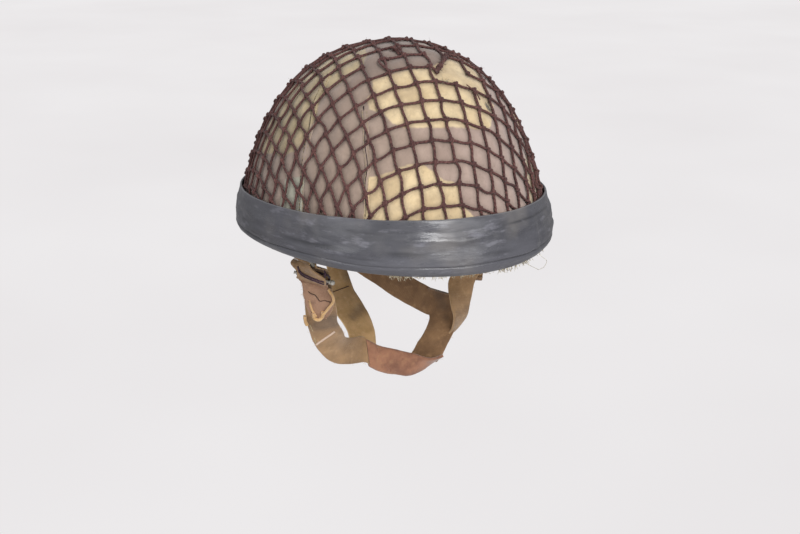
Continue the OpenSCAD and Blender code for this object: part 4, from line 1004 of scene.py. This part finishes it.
# a dark wavy line across the free end: painted shadow along the edge of a doubled layer of webbing
sewn("free_end_tear", seam_m, "strap_tip",
     (0.42, 60, 5, 0.7, 8, [(12.8, -92, -36.2), (15.3, -89.3, -39.2), (17.1, -86.2, -41.0), (17.5, -82.5, -46.1),
                            (20.0, -79.4, -46.0), (22.6, -75.2, -47.2)]))
fold_line = np.array([(18.1, -102.6, -12.4), (19.6, -101.2, -16.3), (25.1, -97.3, -20.0), (30.4, -92.9, -22.0),
                      (35.2, -89.0, -23.2)])
sewn("fold_cord", purple_m, "harness",
     (0.8, 50, 6, 0.5, 9, fold_line + (0.7, -0.9, 0)), (0.7, 50, 6, 0.7, 11, fold_line + (0.9, -1.1, -1.4)),
     (0.7, 20, 6, 0.3, 10, [(36.2, -89.2, -13.5), (37.4, -89.0, -16.5), (36.6, -89.4, -19.0)]))
sewn("pale_tape", tape_m, "harness",
     (0.95, 50, 8, 0.15, 12, [(-10.4, -70.3, -96.2), (-5.3, -64.8, -90.4), (1.2, -58.7, -83.1)]))
sewn("sewn_thread", thread_m, "harness",
     (0.4, 30, 5, 0.4, 13, [(-4.9, -79.6, -74.2), (-7.6, -74.6, -83.5), (-10.4, -70.3, -96.2)]))
nape_edge = sewn("nape_sewn_edge", seam_m, None,
                 (0.4, 40, 5, 0.3, 14, [(-65.2, -19.3, -74.6), (-68.2, -7.5, -74.4), (-70.9, 2.6, -74.5)]))
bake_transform(nape_edge)
sewn("frayed_edge", pale_and_lit_webbing_m, "harness",
     (1.5, 24, 8, 0.8, 15, [(-1.9, -85.4, -64.2), (-3.2, -84.7, -68.5), (-4.4, -81.8, -73.2)]))

bead = np.linspace(0.05, np.pi - 0.05, 20)


def along_bar(steps, radius, sides):
    """A turned form on the slider's bar: distances from its middle and radii there."""
    return tube([bar_mid + sl_side * k for k in steps], radius, sides)


piece("slider_bar_ball", [
    tube(spread([bar_mid - sl_side * 14.9, bar_mid, bar_mid + sl_side * 16.4], 24), 1.0, 16),
    along_bar((-14.9, -14.95, -15.4, -15.45), [0.9, 1.35, 1.35, 0.9], 20),
    along_bar(17.15 - 2.1 * np.cos(bead), 2.1 * np.sin(bead), 28),
    along_bar((14.5, 14.6, 15.2, 15.3), [1.1, 1.9, 1.9, 1.1], 24)], ball_m, "slider", ["slider_bar"])

# threads standing off the cut edges of the webbing
lint = []
for k, (route, width, count) in enumerate(((right_route, 25, 90), (left_route, 25, 70), (jaw_route, 27, 50),
                                           (chin_route[:4], 23, 20), (roll_route, 25, 40))):
    c, u, f, share = lie(route, 12)
    for sign in (-1, 1):
        lint += hairs((c + u * share * width / 2 * sign)[8:], count // 2, 2.4, 0.10, 0.2, 200 + 2 * k + (sign > 0))
piece("webbing_lint", lint, pale_and_lit_webbing_m, "harness")
c, u, f, share = lie(end_route, 12)
lint = hairs((c - u * share * 12.5)[20:], 50, 2.6, 0.11, 0.2, 231)
lint += hairs((c + u * share * 12.5)[20:], 40, 2.4, 0.11, 0.2, 232)
piece("free_end_lint", lint, pale_and_lit_webbing_m, "strap_tip")

# ---- frayed cloth below the band, and one long loose thread
fray = []
# from one azimuth to another, how many threads and how long
for start, stop, count, reach in ((-40, -33, 36, 3.8), (-33, -20, 34, 2.6), (-20, 0, 24, 2.0), (0, 20, 60, 3.8),
                                  (20, 60, 24, 2.2)):
    for bk in R(rng.uniform(start, stop, count)):
        top = wall(bk, rim_z(bk) - 1.2, 3.6 + rng.uniform(-1.4, 1.6))
        way = np.array([np.cos(bk), np.sin(bk), 0]) * rng.uniform(0.0, 0.7)
        way = way + np.array([-np.sin(bk), np.cos(bk), 0]) * rng.normal(0, 0.6)
        way = unit(way - np.array([0, 0, 1.0]))
        t = np.linspace(0, 1, 6)[:, None]
        line = top + way * t * reach * rng.uniform(0.35, 1.0) + rng.normal(0, 0.3, (6, 3)).cumsum(0) * t
        fray.append(tube(line, 0.21 * (1.15 - 0.6 * t[:, 0]), 4))
loop = [np.ravel(wall(R(b), z, d)) for b, z, d in ((14, -1, 4), (17, -5.5, 7), (21, -10, 8), (25, -13.5, 6),
                                                   (28.5, -13, 8), (30, -9, 9), (28, -5, 6.5), (26.5, -1, 4))]
fray.append(tube(spread(loop, 60), 0.16, 4))
piece("band_fray", fray, fray_m, "helmet")


# ---- the liner's soft pieces, with a worn surface
def worn(name, source, stuff, slot_name, step, ease, lump, seed, fine=0.15):
    """A soft piece with the part's own form, its edges eased and its surface lumpy."""
    b = bmesh.new()
    b.from_mesh(bpy.data.objects[source].data)
    bmesh.ops.remove_doubles(b, verts=b.verts, dist=2e-5)
    bmesh.ops.triangulate(b, faces=b.faces)
    for _ in range(7):
        long = [e for e in b.edges if e.calc_length() * 1000 > step]
        if not long:
            break
        bmesh.ops.subdivide_edges(b, edges=long, cuts=1)
        bmesh.ops.triangulate(b, faces=b.faces)
    for _ in range(ease):
        bmesh.ops.smooth_vert(b, verts=b.verts, factor=0.5, use_axis_x=True, use_axis_y=True, use_axis_z=True)
    b.normal_update()
    b.verts.index_update()
    p = np.array([v.co for v in b.verts]) * 1000
    n = np.array([v.normal for v in b.verts])
    faces = [[v.index for v in f.verts] for f in b.faces]
    b.free()
    rise = lump * lumps(p, 14, seed) + fine * lumps(p, 4, seed + 1) + 0.4 * fine * lumps(p, 1.8, seed + 2)
    p = p + n * rise[:, None]
    corner = p[np.concatenate(faces)] / 1000
    uv = np.stack([corner[:, 0] + corner[:, 1], corner[:, 2]], -1)
    return piece(name, (p, faces, uv), stuff, "helmet", [source])


STEP = 2.4
worn("buffer_sponges", "buffer_pads", foam_m, "foam", STEP, 5, 0.35, 71)
worn("crown_sponge", "crown_pad", foam_m, "foam", STEP, 3, 0.3, 74)
worn("worn_headband", "leather_headband", leather_m, "leather", STEP, 2, 0.25, 77)
worn("worn_tongues", "headband_tongues", tongue_m, "leather", STEP, 2, 0.45, 80, 0.2)
worn("worn_lace", "tongue_lace", lace_m, "lace", 1.6, 1, 0.3, 83, 0.2)
worn("cradle_tape_fore", "cradle_strap_fore", cradle_m, "cradle", STEP, 1, 0.15, 86, 0.08)
worn("cradle_tape_cross", "cradle_strap_cross", cradle_m, "cradle", STEP, 1, 0.15, 89, 0.08)

# ---- light and ground, in metres
for name, at, aimed_at, size, watts in (
        ("key", (1.50, -0.38, 0.98), (0, 0, 0.03), 0.6, 20.6), ("front", (1.55, 0.2, 0.40), (0, 0, -0.06), 0.7, 4.5),
        ("side", (0.2, -1.7, 0.6), (0, 0, -0.02), 0.9, 5.6), ("top", (0.2, 0.2, 1.8), (0, 0, 0), 0.9, 2.4),
        ("low", (0.9, -0.6, -0.3), (0, 0, -0.1), 0.8, 1.7)):
    data = bpy.data.lights.new(name, "AREA")
    data.size = size
    data.energy = watts
    obj = bpy.data.objects.new(name, data)
    obj.location = at
    obj.rotation_euler = Vector(np.array(aimed_at) - np.array(at)).to_track_quat("-Z", "Y").to_euler()
    scene.collection.objects.link(obj)
ground = bpy.data.meshes.new("ground")
ground.from_pydata([(-40, -40, -0.7), (40, -40, -0.7), (40, 40, -0.7), (-40, 40, -0.7)], [], [(0, 1, 2, 3)])
# white paper that shows its own colour to the camera, and nothing from below
s = Stuff("pale_paper")
glow = s.add("ShaderNodeEmission", {0: s.mix(s.noise(900, 2), "#e6e3e4", "#efedee"), 1: 1.0})
dull = s.add("ShaderNodeBsdfDiffuse", {0: srgb("#d9d7d7")})
by_camera = s.add("ShaderNodeLightPath").outputs["Is Camera Ray"]
both = s.add("ShaderNodeMixShader", {0: by_camera, 1: dull.outputs[0], 2: glow.outputs[0]})
below = s.add("ShaderNodeNewGeometry").outputs["Backfacing"]
clear = s.add("ShaderNodeBsdfTransparent").outputs[0]
paper = s.add("ShaderNodeMixShader", {0: below, 1: both.outputs[0], 2: clear})
s.add("ShaderNodeOutputMaterial", {0: paper.outputs[0]})
ground.materials.append(s.m)
floor = bpy.data.objects.new("ground", ground)
scene.collection.objects.link(floor)
# the room: white as the camera sees it, softer as light
world = bpy.data.worlds.new("world")
world.use_nodes = True
nodes, links = world.node_tree.nodes, world.node_tree.links
back, path, light = nodes["Background"], nodes.new("ShaderNodeLightPath"), nodes.new("ShaderNodeMapRange")
back.inputs[0].default_value = srgb("#f0f0f3")
light.inputs[3].default_value, light.inputs[4].default_value = 0.5, 0.93
links.new(path.outputs["Is Camera Ray"], light.inputs[0])
links.new(light.outputs[0], back.inputs[1])
scene.world = world
scene.view_settings.view_transform = "Standard"
